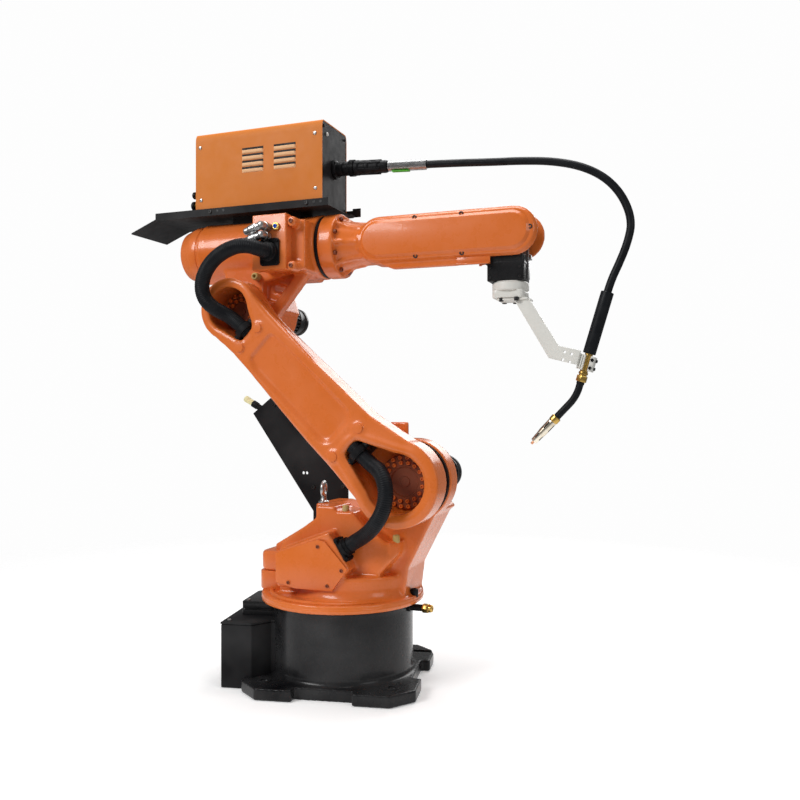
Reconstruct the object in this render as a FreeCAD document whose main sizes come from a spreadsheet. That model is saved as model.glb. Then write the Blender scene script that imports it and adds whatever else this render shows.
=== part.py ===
"""Six-axis industrial robot arm with a welding torch, as a parametric document.

Millimetres, +Z up. The origin is on the first axis at the floor, and the arm lies in the XZ plane with
its forearm along +X. The near side of the arm, where the lower link is, faces -Y.
"""
import FreeCAD, Part

import math
import os
import re

import Sketcher
from FreeCAD import Placement, Rotation, Vector

DIMENSIONS = {
    # axes of the arm
    "shoulder_x": 195, "shoulder_height": 490, "upper_arm": 584, "arm_lean": 46.5,
    "roll_offset": 161, "elbow_setback": 228.6, "forearm_reach": 418,
    # clearances
    "joint_gap": 0.3, "hose_fit": 0.3,
    # base
    "base_turn": 10.5, "base_width": 410, "base_corner": 50, "base_plate": 28, "pad_gap": 138,
    "pad_recess": 12, "drum_radius": 171, "base_height": 196, "bolt_inset": 55, "bolt_hole": 18,
    "terminal_back": 262, "terminal_half": 135, "terminal_top": 155, "rim_clearance": 8,
    "stop_drop": 12,
    # turret
    "flange_radius": 197, "flange_rim": 20, "turret_drum": 140, "drum_offset": 35, "drum_top": 270,
    "web_near": 50, "web_far": 80, "hub_radius": 97, "block_height": 427, "belly_near": 96,
    "cable_box_depth": 45, "cover_sheet": 6, "reducer_radius": 93, "reducer_width": 10,
    "motor_cover": 92, "motor_radius": 52, "motor_length": 118, "mount_ring": 12, "panel_sheet": 4,
    # lower arm
    "arm_thickness": 100, "arm_foot": 100, "arm_head": 74, "arm_floor": 22, "foot_opening": 68,
    "head_opening": 52, "panel_depth": 8, "boss_radius": 14, "boss_height": 4, "disc_room": 6,
    "disc_height": 12, "hose_depth": 85.7, "foot_clamp": 104, "head_clamp": 72,
    # elbow
    "elbow_far": 60, "housing_radius": 77, "housing_back": 371, "cap_length": 62, "cap_radius": 60,
    "seal_x": 44, "seal_width": 8, "entry_near": 140, "entry_left": 173, "entry_right": 83,
    "entry_gap": 16, "entry_rise": 60, "elbow_motor": 44,
    # forearm
    "neck_flange": 39, "neck_radius": 50, "forearm_radius": 56, "slot_gap": 4, "fork_wall": 14,
    "forearm_cover": 6, "cover_inset": 6, "cover_start": 112, "cover_past": 15, "belt_drop": 13,
    # wrist
    "wrist_radius": 46, "wrist_half": 34, "wrist_drop": 109, "pivot_radius": 24,
    # tool
    "adapter_radius": 41.5, "adapter_height": 37.7, "bracket_sheet": 8, "clamp_forward": 170,
    "clamp_drop": 149, "torch_tilt": 16.5, "torch_radius": 9, "sleeve_radius": 14,
    "sleeve_length": 132, "sleeve_gap": 4, "clamp_half": 17, "body_length": 26, "neck_tube": 8,
    "neck_bend": 90, "neck_turn": 27, "neck_first": 13, "neck_last": 40, "nozzle_ring": 14,
    "nozzle_length": 62, "nozzle_radius": 10, "nozzle_mouth": 7.5, "tip_radius": 3, "tip_length": 8,
    "tip_seat": 40,
    # wire feeder
    "tray_rise": 9, "tray_sheet": 3, "tray_room": 4.5, "tray_back": 495, "tray_front": 5,
    "tray_lip": 18, "tray_tail": 75, "tray_drop": 30, "feeder_back": 376, "feeder_front": 23,
    "feeder_half": 69, "feeder_height": 203, "shell_sheet": 2.5, "plug_rise": 101, "plug_droop": 3,
    "socket_radius": 17, "socket_length": 41, "plug_radius": 18, "plug_nut": 14, "plug_grip": 85,
    "spring_radius": 12, "spring_length": 100,
    # cords
    "hose_radius": 17.5, "cable_radius": 8.75,
}

DERIVED = {
    "turret_floor": "base_height + joint_gap",
    "flange_top": "turret_floor + flange_rim",
    "cable_box_near": "belly_near + cable_box_depth",
    "arm_inner": "web_near + reducer_width",
    "gear_disc": "foot_opening - disc_room",
    "head_disc": "head_opening - disc_room",
    "elbow_x": "shoulder_x - upper_arm * sin(arm_lean)",
    "elbow_height": "shoulder_height + upper_arm * cos(arm_lean)",
    "front_x": "elbow_x + elbow_setback",
    "roll_height": "elbow_height + roll_offset",
    "entry_bottom": "elbow_height + arm_head + entry_gap",
    "entry_top": "roll_height + entry_rise",
    "slot_half": "wrist_half + slot_gap",
    "forearm_half": "slot_half + fork_wall",
    "cover_radius": "forearm_radius - cover_inset",
    "belt_depth": "forearm_radius + belt_drop",
    "wrist_x": "front_x + forearm_reach",
    "cover_end": "forearm_reach + cover_past",
    "wrist_bottom": "roll_height - wrist_drop",
    "adapter_bottom": "wrist_bottom - joint_gap - adapter_height",
    "tray_height": "roll_height + housing_radius + tray_rise",
    "tray_half": "feeder_half + shell_sheet + tray_room",
    "feeder_floor": "tray_height + tray_sheet",
    "plug_height": "feeder_floor + plug_rise",
}

UP = Rotation()
ALONG_X = Rotation(Vector(0, 1, 0), 90)
NEARWARD = Rotation(Vector(1, 0, 0), 90)
FARWARD = Rotation(Vector(1, 0, 0), -90)

doc = FreeCAD.newDocument("robot_arm")
sheet = doc.addObject("Spreadsheet::Sheet", "dims")


class Values:
    """The driving dimensions as plain numbers, and the places that shapes made in code take from them."""

    def __init__(self, table):
        self.__dict__.update(table)
        lean = math.radians(self.arm_lean)
        self.arm_face = -self.web_near - self.reducer_width - self.joint_gap
        elbow_height = self.shoulder_height + self.upper_arm * math.cos(lean)
        self.front_x = self.shoulder_x - self.upper_arm * math.sin(lean) + self.elbow_setback
        self.roll_height = elbow_height + self.roll_offset
        self.plug_height = (self.roll_height + self.housing_radius + self.tray_rise + self.tray_sheet
                            + self.plug_rise)
        self.clamp_x = self.front_x + self.forearm_reach + self.clamp_forward
        self.clamp_height = (self.roll_height - self.wrist_drop - self.joint_gap - self.adapter_height
                             - self.clamp_drop)
        self.sleeve_start = self.clamp_half + self.sleeve_gap


size = Values(DIMENSIONS)
SUBPARTS = []


def fill_sheet():
    """Write each driving dimension in a cell that its name is the alias of."""
    for row, (name, number) in enumerate(DIMENSIONS.items(), start=1):
        sheet.set(f"A{row}", name)
        sheet.set(f"B{row}", str(number))
        sheet.setAlias(f"B{row}", name)
    doc.recompute()


def formula(text):
    """Turn the names in a sum into references to the sheet's cells."""

    def reference(match):
        word = match.group(0)
        if word in DERIVED:
            return "(" + formula(DERIVED[word]) + ")"
        return "dims." + word if word in DIMENSIONS else word

    return re.sub(r"[a-z][a-z_]*", reference, str(text))


def bind(item, property_name, text):
    item.setExpression(property_name, formula(text))


def place(item, at, turn):
    item.Placement = Placement(Vector(), turn)
    for axis, text in zip("xyz", at):
        bind(item, "Placement.Base." + axis, text)


def primitive(kind, name, sizes, at, turn):
    """Add a Part primitive with its sizes and place bound to the sheet."""
    item = doc.addObject("Part::" + kind, name)
    for property_name, text in sizes.items():
        bind(item, property_name, text)
    place(item, at, turn)
    return item


def cylinder(name, radius, length, at, turn=UP):
    return primitive("Cylinder", name, {"Radius": radius, "Height": length}, at, turn)


def cone(name, start_radius, end_radius, length, at, turn=UP):
    sizes = {"Radius1": start_radius, "Radius2": end_radius, "Height": length}
    return primitive("Cone", name, sizes, at, turn)


def box(name, lengths, corner, turn=UP):
    sizes = dict(zip(("Length", "Width", "Height"), lengths))
    return primitive("Box", name, sizes, corner, turn)


def fuse(name, pieces):
    item = doc.addObject("Part::MultiFuse", name)
    item.Shapes = pieces
    item.Refine = True
    return item


def cut(name, base, *tools):
    item = doc.addObject("Part::Cut", name)
    item.Base = base
    item.Tool = tools[0] if len(tools) == 1 else fuse(name + "_tools", list(tools))
    item.Refine = True
    return item


def common(name, base, tool):
    item = doc.addObject("Part::Common", name)
    item.Base = base
    item.Tool = tool
    return item


def prism(name, corners, depth, at=(0, 0, 0), turn=UP):
    """Pad a closed outline whose corners are each bound to the sheet."""
    body = doc.addObject("PartDesign::Body", name)
    sketch = body.newObject("Sketcher::SketchObject", name + "_outline")
    plane = next(item for item in body.Origin.OriginFeatures if item.Role == "XY_Plane")
    sketch.AttachmentSupport = (plane, [""])
    sketch.MapMode = "FlatFace"
    count = len(corners)
    start = [Vector(math.cos(2 * math.pi * k / count), math.sin(2 * math.pi * k / count)) * 100
             for k in range(count)]
    for index in range(count):
        sketch.addGeometry(Part.LineSegment(start[index], start[(index + 1) % count]))
    for index in range(count):
        sketch.addConstraint(Sketcher.Constraint("Coincident", index, 2, (index + 1) % count, 1))
    for index, corner in enumerate(corners):
        for kind, text in zip(("DistanceX", "DistanceY"), corner):
            number = sketch.addConstraint(Sketcher.Constraint(kind, index, 1, 1.0))
            bind(sketch, f"Constraints[{number}]", text)
    pad = body.newObject("PartDesign::Pad", name + "_pad")
    pad.Profile = sketch
    bind(pad, "Length", depth)
    place(body, at, turn)
    return body


def feature(name, shape):
    """A sub-part whose shape is made in code."""
    item = doc.addObject("Part::Feature", name)
    item.Shape = shape
    return item


def subpart(item, name):
    """Name a finished sub-part after its node."""
    item.Label = name
    SUBPARTS.append(item)
    return item


def lay(item, name, point, rotation):
    """Finish a sub-part that was drawn at the origin and lies at a point worked out in code."""
    for axis in "xyz":
        item.setExpression("Placement.Base." + axis, None)
    item.Placement = Placement(point, rotation)
    return subpart(item, name)


def turned_base(item, name):
    """Finish a sub-part of the base, which stands turned about the first axis."""
    item.Placement = Placement(Vector(), Rotation(Vector(0, 0, 1), size.base_turn))
    bind(item, "Placement.Rotation.Angle", "base_turn")
    return subpart(item, name)


# ---------------------------------------------------------------- base

def foot_outline():
    """Corners of the foot plate: chamfered corners, with a recess in the middle of each side."""
    half = "base_width / 2"
    side = [
        (f"-({half} - base_corner)", half),
        ("-pad_gap / 2", half),
        ("-pad_gap / 2", f"{half} - pad_recess"),
        ("pad_gap / 2", f"{half} - pad_recess"),
        ("pad_gap / 2", half),
        (f"{half} - base_corner", half),
    ]
    turns = [
        lambda x, y: (x, y),
        lambda x, y: (y, f"-({x})"),
        lambda x, y: (f"-({x})", f"-({y})"),
        lambda x, y: (f"-({y})", x),
    ]
    return [turn(x, y) for turn in turns for x, y in side]


def base_casting():
    plate = prism("foot_plate", foot_outline(), "base_plate")
    drum = cylinder("base_drum", "drum_radius", "base_height - base_plate", (0, 0, "base_plate"))
    holes = []
    for number in range(4):
        across = "(base_width / 2 - bolt_inset)"
        x = across if number in (0, 3) else f"-{across}"
        y = across if number < 2 else f"-{across}"
        hole = cylinder(f"foot_hole_{number}", "bolt_hole / 2", "base_plate + 2", (x, y, -1))
        holes.append(hole)
    solid = cut("base_solid", fuse("base_body", [plate, drum]), *holes)
    return turned_base(solid, "base_casting")


def connector_box():
    """Cable connector housing behind the drum, narrowing towards it."""
    half = "terminal_half"
    outline = [
        ("-terminal_back", f"-{half}"), ("-terminal_back + 75", f"-{half}"),
        ("-terminal_back + 112", f"-{half} + 40"), ("-120", f"-{half} + 40"),
        ("-120", f"{half} - 40"), ("-terminal_back + 112", f"{half} - 40"),
        ("-terminal_back + 75", half), ("-terminal_back", half),
    ]
    blank = prism("terminal_blank", outline, "terminal_top")
    drum = cylinder("terminal_drum_room", "drum_radius", "base_height", (0, 0, 0))
    plate = box("terminal_plate_room", ("base_width", "base_width", "base_plate"),
                ("-base_width / 2", "-base_width / 2", 0))
    return turned_base(cut("terminal_solid", blank, drum, plate), "base_connector_box")


def terminal_block():
    blank = box("block_blank", (100, 120, "base_height - rim_clearance - terminal_top"),
                (-238, -60, "terminal_top"))
    drum = cylinder("block_drum_room", "drum_radius", "base_height", (0, 0, 0))
    return turned_base(cut("block_solid", blank, drum), "base_terminal_block")


def stop_fitting():
    """Hexagonal stop fitting that stands out of the drum on a short stub."""
    stub = cylinder("stop_stub", 8, 42, ("drum_radius - 6", 0, "base_height - stop_drop"), ALONG_X)
    hexagon = cylinder("stop_hexagon", 11, 24, ("drum_radius + 36", 0, "base_height - stop_drop"),
                       ALONG_X)
    drum = cylinder("stop_drum_room", "drum_radius", "base_height", (0, 0, 0))
    solid = cut("stop_solid", fuse("stop_body", [stub, hexagon]), drum)
    return subpart(solid, "base_stop_fitting")


# ---------------------------------------------------------------- turret

def turret_casting():
    """Rim flange, drum, leaning web and the shoulder hub that carries the lower arm."""
    flange = cylinder("rim_flange", "flange_radius", "flange_rim", (0, 0, "turret_floor"))
    drum = cylinder("turret_drum_body", "turret_drum", "drum_top - turret_floor",
                    ("drum_offset", 0, "turret_floor"))
    web = prism("turret_web", [
        (-160, "turret_floor"), (-160, 322), (-50, 388), (-50, "block_height"), (-6, "block_height"),
        (60, 405), (105, "shoulder_height"), ("shoulder_x + hub_radius - 2", "shoulder_height"),
        (254, 417), ("drum_offset + turret_drum + 11", 283), ("drum_offset + turret_drum", "turret_floor"),
    ], "web_near + web_far", (0, "web_far", 0), NEARWARD)
    hub = cylinder("shoulder_hub", "hub_radius", "web_near + web_far",
                   ("shoulder_x", "web_far", "shoulder_height"), NEARWARD)
    belly = prism("turret_belly", [
        (-125, "turret_floor"), (-125, 322), (-28, 386), (-28, "block_height"), (22, "block_height"),
        (22, 416), (66, 416), (95, 383), (112, 374), (150, 350), (200, 352), (124, 264),
        (118, "turret_floor"),
    ], "belly_near", (0, 0, 0), NEARWARD)
    room = cylinder("belly_room", "flange_radius - 12", 500, (0, 0, 0))
    cable_box = prism("cable_box", [(-106, 239), (38, 239), (77, 291), (26, 373), (-108, 322)],
                      "cable_box_near - belly_near + 6",
                      (0, "6 - belly_near", 0), NEARWARD)
    trimmed = common("belly_trimmed", belly, room)
    tab = cut("hub_tab", box("hub_tab_blank", (46, 8, 60), ("shoulder_x - 52", "-web_near",
              "shoulder_height + hub_radius - 22")),
              cylinder("hub_tab_hole", 4, 12, ("shoulder_x - 29", "-web_near + 10",
                       "shoulder_height + hub_radius + 27"), NEARWARD))
    return subpart(fuse("turret_solid", [flange, drum, web, hub, tab, trimmed, cable_box]), "turret_casting")


def turret_cable_cover():
    """Cover plate on the near side of the cable box; it stops short of the box's top edge."""
    plate = prism("cover_plate", [(-106, 251), (-57, 240), (38, 240), (76, 292), (20, 352), (0, 356),
                  (-107, 319)], "cover_sheet", (0, "-cable_box_near", 0), NEARWARD)
    return subpart(plate, "turret_cable_cover")


def turret_gland():
    """Square flange and collar of the lower hose, on the cover's leaning end."""
    flank = math.degrees(math.atan2(373 - 291, 77 - 26))
    outward = Rotation(Vector(0, 1, 0), flank)
    plate = Part.makeBox(54, 38, 6, Vector(-27, -19, 0))
    collar = Part.makeCylinder(size.hose_radius + 5, 16, Vector(0, 0, 6))
    bore = Part.makeCylinder(size.hose_radius + size.hose_fit, 16, Vector(0, 0, 6))
    item = feature("gland_solid", plate.fuse(collar).cut(bore))
    return lay(item, "turret_hose_gland", GLAND_SEAT, outward)


def turret_motor_cover(casting):
    """Cover of the first axis motor, behind the turret."""
    blank = box("base_motor_blank", (80, 130, "motor_cover"), (-196, -75, "flange_top"))
    return subpart(cut("base_motor_solid", blank, casting), "turret_motor_cover")


def lifting_eye():
    ring = primitive("Torus", "eye_ring", {"Radius1": 15, "Radius2": 5.5},
                     (-38, -30, "block_height + 34"), FARWARD)
    shank = cylinder("eye_shank", 6, 20, (-38, -30, "block_height + 2"))
    collar = cylinder("eye_collar", 12, 5, (-38, -30, "block_height"))
    return subpart(fuse("eye_solid", [collar, shank, ring]), "lifting_eye")


def shoulder_reducer():
    """Dark ring between the hub and the lower arm."""
    ring = cylinder("reducer_ring", "reducer_radius", "arm_inner - web_near",
                    ("shoulder_x", "-web_near", "shoulder_height"), NEARWARD)
    return subpart(ring, "shoulder_reducer_ring")


def axis_motor(name, x, height, start, radius, length):
    """A motor with its mounting ring, on the far side of an axis along Y."""
    ring = cylinder(name + "_ring", f"{radius} + 14", "mount_ring", (x, start, height), FARWARD)
    body = cylinder(name + "_body", radius, length, (x, f"{start} + mount_ring", height), FARWARD)
    cap = cone(name + "_cap", radius, f"{radius} - 8", 14,
               (x, f"{start} + mount_ring + {length}", height), FARWARD)
    return subpart(fuse(name + "_solid", [ring, body, cap]), name)


def rear_panel():
    """Sheet panel that stands behind the lower arm, on the far side of the turret."""
    sheet_plate = prism("panel_plate", [
        (-121, 340), (-23, 340), (-23, 470), (-150, 585), (-247, 683), (-299, 642), (-121, 390),
    ], "panel_sheet", (0, "web_far + panel_sheet", 0), NEARWARD)
    holes = [cylinder(f"panel_hole_{n}", 4, "panel_sheet + 2", (-150 + 10 * n, "web_far - 1", 488),
                      FARWARD) for n in range(2)]
    return subpart(cut("panel_solid", sheet_plate, *holes), "rear_panel")


def panel_plug():
    """Pale plug on a black elbow at the panel's top corner."""
    start = "web_far + panel_sheet"
    elbow = cylinder("plug_elbow", 9, 20, (-272, start, 650), FARWARD)
    end = cylinder("plug_end", 6.5, 30, (-272, f"{start} + 9", 650), Rotation(Vector(0, 1, 0), -66))
    return subpart(fuse("plug_solid", [elbow, end]), "panel_plug")


def stop_bumpers(casting):
    """Rubber stops of the lower arm, and the round bumper on the flange; they stand on the casting."""
    first = cylinder("stop_first", 8, 18, (44, -82, 412))
    second = cylinder("stop_second", 8, 18, (165, -68, 346))
    bumper = cylinder("flange_bumper", 9, 12, ("drum_offset + turret_drum + 13", -10, "flange_top"))
    stops = fuse("stops_blank", [first, second, bumper])
    return subpart(cut("stops_solid", stops, casting), "stop_bumpers")


# ---------------------------------------------------------------- lower arm

def arm_turn():
    """Rotation that lays local +X along the lower arm and local +Z towards the near side."""
    return Rotation(Vector(0, 1, 0), -(90 + size.arm_lean)).multiply(NEARWARD)


def on_arm(along, across):
    """A point of a hose's axis where it lies in the lower arm's openings."""
    lean = math.radians(size.arm_lean)
    x = size.shoulder_x - along * math.sin(lean) - across * math.cos(lean)
    z = size.shoulder_height + along * math.cos(lean) - across * math.sin(lean)
    return Vector(x, size.arm_face - size.hose_depth, z)


def arm_blank(name, height, depth, foot, head, corners):
    """A link outline in arm coordinates: two round ends and the web between them."""
    pieces = [
        cylinder(name + "_foot", foot, depth, (0, 0, height)),
        cylinder(name + "_head", head, depth, ("upper_arm", 0, height)),
        prism(name + "_web", corners, depth, (0, 0, height)),
    ]
    return fuse(name, pieces)


def lower_arm_link():
    blank = arm_blank("link_blank", 0, "arm_thickness", "arm_foot", "arm_head", [
        (42, -90), (150, -68), ("upper_arm - 84", -58), ("upper_arm - 20", -71), ("upper_arm - 20", 71),
        ("upper_arm - 84", 66), (150, 79), (42, 90),
    ])
    depth = "arm_thickness - arm_floor + 1"
    foot = fuse("foot_pocket", [
        cylinder("foot_pocket_round", "foot_opening", depth, (0, 0, "arm_floor")),
        prism("foot_pocket_slot", [(18, -65), (120, -12), (133, -6), (133, 34), (122, 40), (0, 67)],
              depth, (0, 0, "arm_floor")),
    ])
    head = fuse("head_pocket", [
        cylinder("head_pocket_round", "head_opening", depth, ("upper_arm", 0, "arm_floor")),
        prism("head_pocket_slot", [
            ("upper_arm - 13", -50), ("upper_arm - 13", 50), ("upper_arm - 72", 34),
            ("upper_arm - 80", 28), ("upper_arm - 80", -12), ("upper_arm - 72", -18),
        ], depth, (0, 0, "arm_floor")),
    ])
    panel = prism("link_panel", [
        (196, -38), (206, -46), ("upper_arm - 132", -38), ("upper_arm - 124", -30),
        ("upper_arm - 124", 40), ("upper_arm - 132", 48), (206, 56), (196, 46),
    ], "panel_depth + 1", (0, 0, "arm_thickness - panel_depth"))
    spots = [(146, -28), (148, 60), ("upper_arm - 93", -20), ("upper_arm - 87", 44)]
    bosses = [cylinder(f"link_boss_{n}", "boss_radius", "boss_height", (*spot, "arm_thickness"))
              for n, spot in enumerate(spots)]
    solid = fuse("link_solid", [cut("link_cut", blank, foot, head, panel), *bosses])
    return on_link(solid, "lower_arm_link")


def on_link(item, name):
    """Place a sub-part that was drawn in the lower arm's own coordinates."""
    seat = Vector(size.shoulder_x, size.arm_face, size.shoulder_height)
    return lay(item, name, seat, arm_turn())


def gear_disc(name, radius, along):
    """Output disc of a reducer, seen at the bottom of the arm's opening."""
    disc = cylinder(name + "_body", radius, "disc_height", (along, 0, "arm_floor"))
    centre = cylinder(name + "_centre", f"{radius} * 0.3", 3, (along, 0, "arm_floor + disc_height"))
    return on_link(fuse(name + "_solid", [disc, centre]), name)


def hose_clamp(name, along, across):
    """Clamp block in an opening, with the hose's bore through it."""
    height = size.hose_depth
    width = 14
    block = Part.makeBox(width, 52, height + 8 - size.arm_floor,
                         Vector(along, across - 26, size.arm_floor))
    ring = Part.makeCylinder(size.hose_radius + 5, width, Vector(along, across, height), Vector(1, 0, 0))
    bore = Part.makeCylinder(size.hose_radius + size.hose_fit, width, Vector(along, across, height),
                             Vector(1, 0, 0))
    return on_link(feature(name + "_solid", block.fuse(ring).cut(bore)), name)


# ---------------------------------------------------------------- elbow

def elbow_casting():
    """Elbow hub, gusset and the housing of the forearm's roll axis."""
    near = "arm_inner"
    width = "arm_inner + elbow_far"
    start = (0, "elbow_far", 0)
    hub = cylinder("elbow_hub", "arm_head", width, ("elbow_x", "elbow_far", "elbow_height"), NEARWARD)
    body = prism("elbow_body", [
        ("elbow_x - arm_head + 3", "elbow_height"), ("elbow_x - arm_head + 3", "roll_height - 20"),
        ("front_x - 60", "roll_height - 20"), ("front_x - 60", "elbow_height + 112"),
        ("elbow_x + 75", "elbow_height"),
    ], width, start, NEARWARD)
    housing = cylinder("roll_housing", "housing_radius", "housing_back - seal_x",
                       ("front_x - housing_back", 0, "roll_height"), ALONG_X)
    hole = cylinder("gusset_hole", 11, "arm_inner + elbow_far + 20",
                    ("elbow_x + 80", "elbow_far + 10", "elbow_height + 57"), NEARWARD)
    pocket = prism("gusset_pocket", [
        ("elbow_x + 38", "elbow_height + 33"), ("elbow_x + 38", "elbow_height + 73"),
        ("elbow_x + 133", "elbow_height + 98"), ("elbow_x + 70", "elbow_height + 23"),
    ], 30, (0, f"-{near} + 24", 0), NEARWARD)
    neck = box("entry_neck", ("entry_left - entry_right", "entry_near - 80", "entry_top - entry_bottom - 21"),
               ("front_x - entry_left", "30 - entry_near", "entry_bottom + 12"))
    return subpart(cut("elbow_solid", fuse("elbow_pieces", [hub, body, housing, neck]), hole, pocket),
                   "elbow_casting")


def roll_motor_cover():
    """Round motor cover behind the roll housing, with a conical end."""
    back = "front_x - housing_back"
    straight = cylinder("roll_cover_body", "housing_radius - 3", 26, (f"{back} - 26", 0, "roll_height"),
                        ALONG_X)
    end = cone("roll_cover_end", "cap_radius", "housing_radius - 3", "cap_length - 26",
               (f"{back} - cap_length", 0, "roll_height"), ALONG_X)
    return subpart(fuse("roll_cover_solid", [straight, end]), "roll_motor_cover")


def cable_entry_box():
    lengths = ("entry_left - entry_right", 30, "entry_top - entry_bottom")
    return subpart(box("entry_body", lengths, ("front_x - entry_left", "-entry_near", "entry_bottom")),
                   "cable_entry_box")


def elbow_gland():
    """Square flange and collar of the upper hose, on the entry box."""
    seat = ("front_x - 125", "-entry_near - 6", "roll_height - 30")
    plate = box("elbow_gland_plate", (46, 6, 62), ("front_x - 148", "-entry_near - 6", "roll_height - 61"))
    collar = cylinder("elbow_gland_collar", "hose_radius + 4", 12, seat, NEARWARD)
    bore = cylinder("elbow_gland_bore", "hose_radius + hose_fit", 14, seat, NEARWARD)
    return subpart(cut("elbow_gland_solid", fuse("elbow_gland_body", [plate, collar]), bore),
                   "elbow_hose_gland")


def elbow_connectors():
    """Two right-angle cable connectors on the entry box."""
    pieces = []
    for number, (back, rise, reach) in enumerate([(150, 31, 30), (158, 13, 26)]):
        x = f"front_x - {back}"
        height = f"roll_height + {rise}"
        root = cylinder(f"connector_root_{number}", 11, reach, (x, "-entry_near", height), NEARWARD)
        barrel = cylinder(f"connector_barrel_{number}", 9, 44, (x, f"-entry_near - {reach} + 10", height),
                          Rotation(Vector(0, 1, 0), -100))
        pieces += [root, barrel]
    return subpart(fuse("connector_solid", pieces), "elbow_connectors")


def air_port():
    port = cylinder("air_port_body", 7, 10, ("front_x - 108", "-entry_near", "roll_height + 29"), NEARWARD)
    return subpart(port, "air_port")


def elbow_bumper():
    """Tan rubber stop beside the elbow hub."""
    bumper = cylinder("elbow_bumper_body", 9, 20, ("elbow_x + 25.6", "-arm_inner",
                      "elbow_height + arm_head + 14"), NEARWARD)
    return subpart(bumper, "elbow_bumper")


def roll_seal():
    """Black seal ring in front of the roll housing."""
    ring = cylinder("seal_body", "housing_radius - 2", "seal_width", ("front_x - seal_x", 0, "roll_height"),
                    ALONG_X)
    return subpart(ring, "roll_seal_ring")


# ---------------------------------------------------------------- wire feeder

def feeder_tray():
    """Folded sheet tray with an upright near lip and a tail that drops behind."""
    length = "tray_back - tray_front"
    back = "front_x - tray_back"
    floor = box("tray_floor", (length, "2 * tray_half", "tray_sheet"), (back, "-tray_half", "tray_height"))
    lips = [box(f"tray_lip_{side}", (length, "tray_sheet", "tray_lip"), (back, start, "tray_height"))
            for side, start in (("near", "-tray_half"), ("far", "tray_half - tray_sheet"))]
    tail = prism("tray_slope", [
        (back, "tray_height"), (back, "feeder_floor"), (f"{back} - tray_tail", "feeder_floor - tray_drop"),
        (f"{back} - tray_tail", "tray_height - tray_drop"),
    ], "2 * tray_half", (0, "tray_half", 0), NEARWARD)
    spacer = box("tray_spacer", (190, 70, "tray_height - roll_height"), ("front_x - 290", -35, "roll_height"))
    housing = cylinder("tray_housing_room", "housing_radius", "housing_back", ("front_x - housing_back", 0,
                       "roll_height"), ALONG_X)
    return subpart(cut("tray_solid", fuse("tray_body", [floor, *lips, tail, spacer]), housing),
                   "feeder_tray")


def feeder_housing():
    """Closed body of the wire feeder; its end plates stay bare."""
    body = box("feeder_body", ("feeder_back - feeder_front", "2 * feeder_half", "feeder_height"),
               ("front_x - feeder_back", "-feeder_half", "feeder_floor"))
    return subpart(body, "feeder_housing")


def feeder_cover():
    """Painted sheet over the feeder's top and sides."""
    outer = box("shell_outer", ("feeder_back - feeder_front - 6", "2 * (feeder_half + shell_sheet)",
                "feeder_height + shell_sheet"),
                ("front_x - feeder_back + 3", "-feeder_half - shell_sheet", "feeder_floor"))
    inner = box("shell_inner", ("feeder_back", "2 * feeder_half", "feeder_height"),
                ("front_x - feeder_back - 10", "-feeder_half", "feeder_floor"))
    return subpart(cut("shell_solid", outer, inner), "feeder_cover")


def feeder_fittings():
    """Gas and wire inlets on the feeder's back."""
    pieces = [cylinder(f"inlet_{n}", radius, 22, ("front_x - feeder_back - 22", y, f"feeder_floor + {rise}"),
                       ALONG_X)
              for n, (radius, y, rise) in enumerate([(12, -52, 30), (9, -50, 58), (14, 20, 98)])]
    return subpart(fuse("inlets_solid", pieces), "feeder_inlets")


def torch_socket():
    seat = ("front_x - feeder_front", 0, "plug_height")
    collar = cylinder("socket_body", "socket_radius", "socket_length", seat, ALONG_X)
    flange = cylinder("socket_flange", "socket_radius + 6", 6, seat, ALONG_X)
    return subpart(fuse("socket_solid", [collar, flange]), "torch_socket")


def on_plug(along):
    """A point on the plug's axis, which droops a little; along is counted from the socket's face."""
    droop = math.radians(size.plug_droop)
    fit = (size.plug_radius + 2) * math.tan(droop)
    start = size.front_x + size.socket_length + fit - size.feeder_front
    return Vector(start + along * math.cos(droop), 0, size.plug_height - along * math.sin(droop))


def laid_on_plug(item, name, along):
    return lay(item, name, on_plug(along), Rotation(Vector(0, 1, 0), 90 + size.plug_droop))


def torch_plug():
    """Grip of the cable's plug, from its collar to the bend spring."""
    nut = cylinder("plug_collar", "plug_radius + 2", "plug_nut", (0, 0, 0))
    grip = cone("plug_body", "plug_radius", "plug_radius - 3", "plug_grip", (0, 0, "plug_nut"))
    return laid_on_plug(fuse("grip_solid", [nut, grip]), "torch_plug", 0)


def cable_spring():
    spring = cylinder("spring_body", "spring_radius", "spring_length", (0, 0, 0))
    return laid_on_plug(spring, "cable_spring", size.plug_nut + size.plug_grip)


# ---------------------------------------------------------------- forearm

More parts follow.
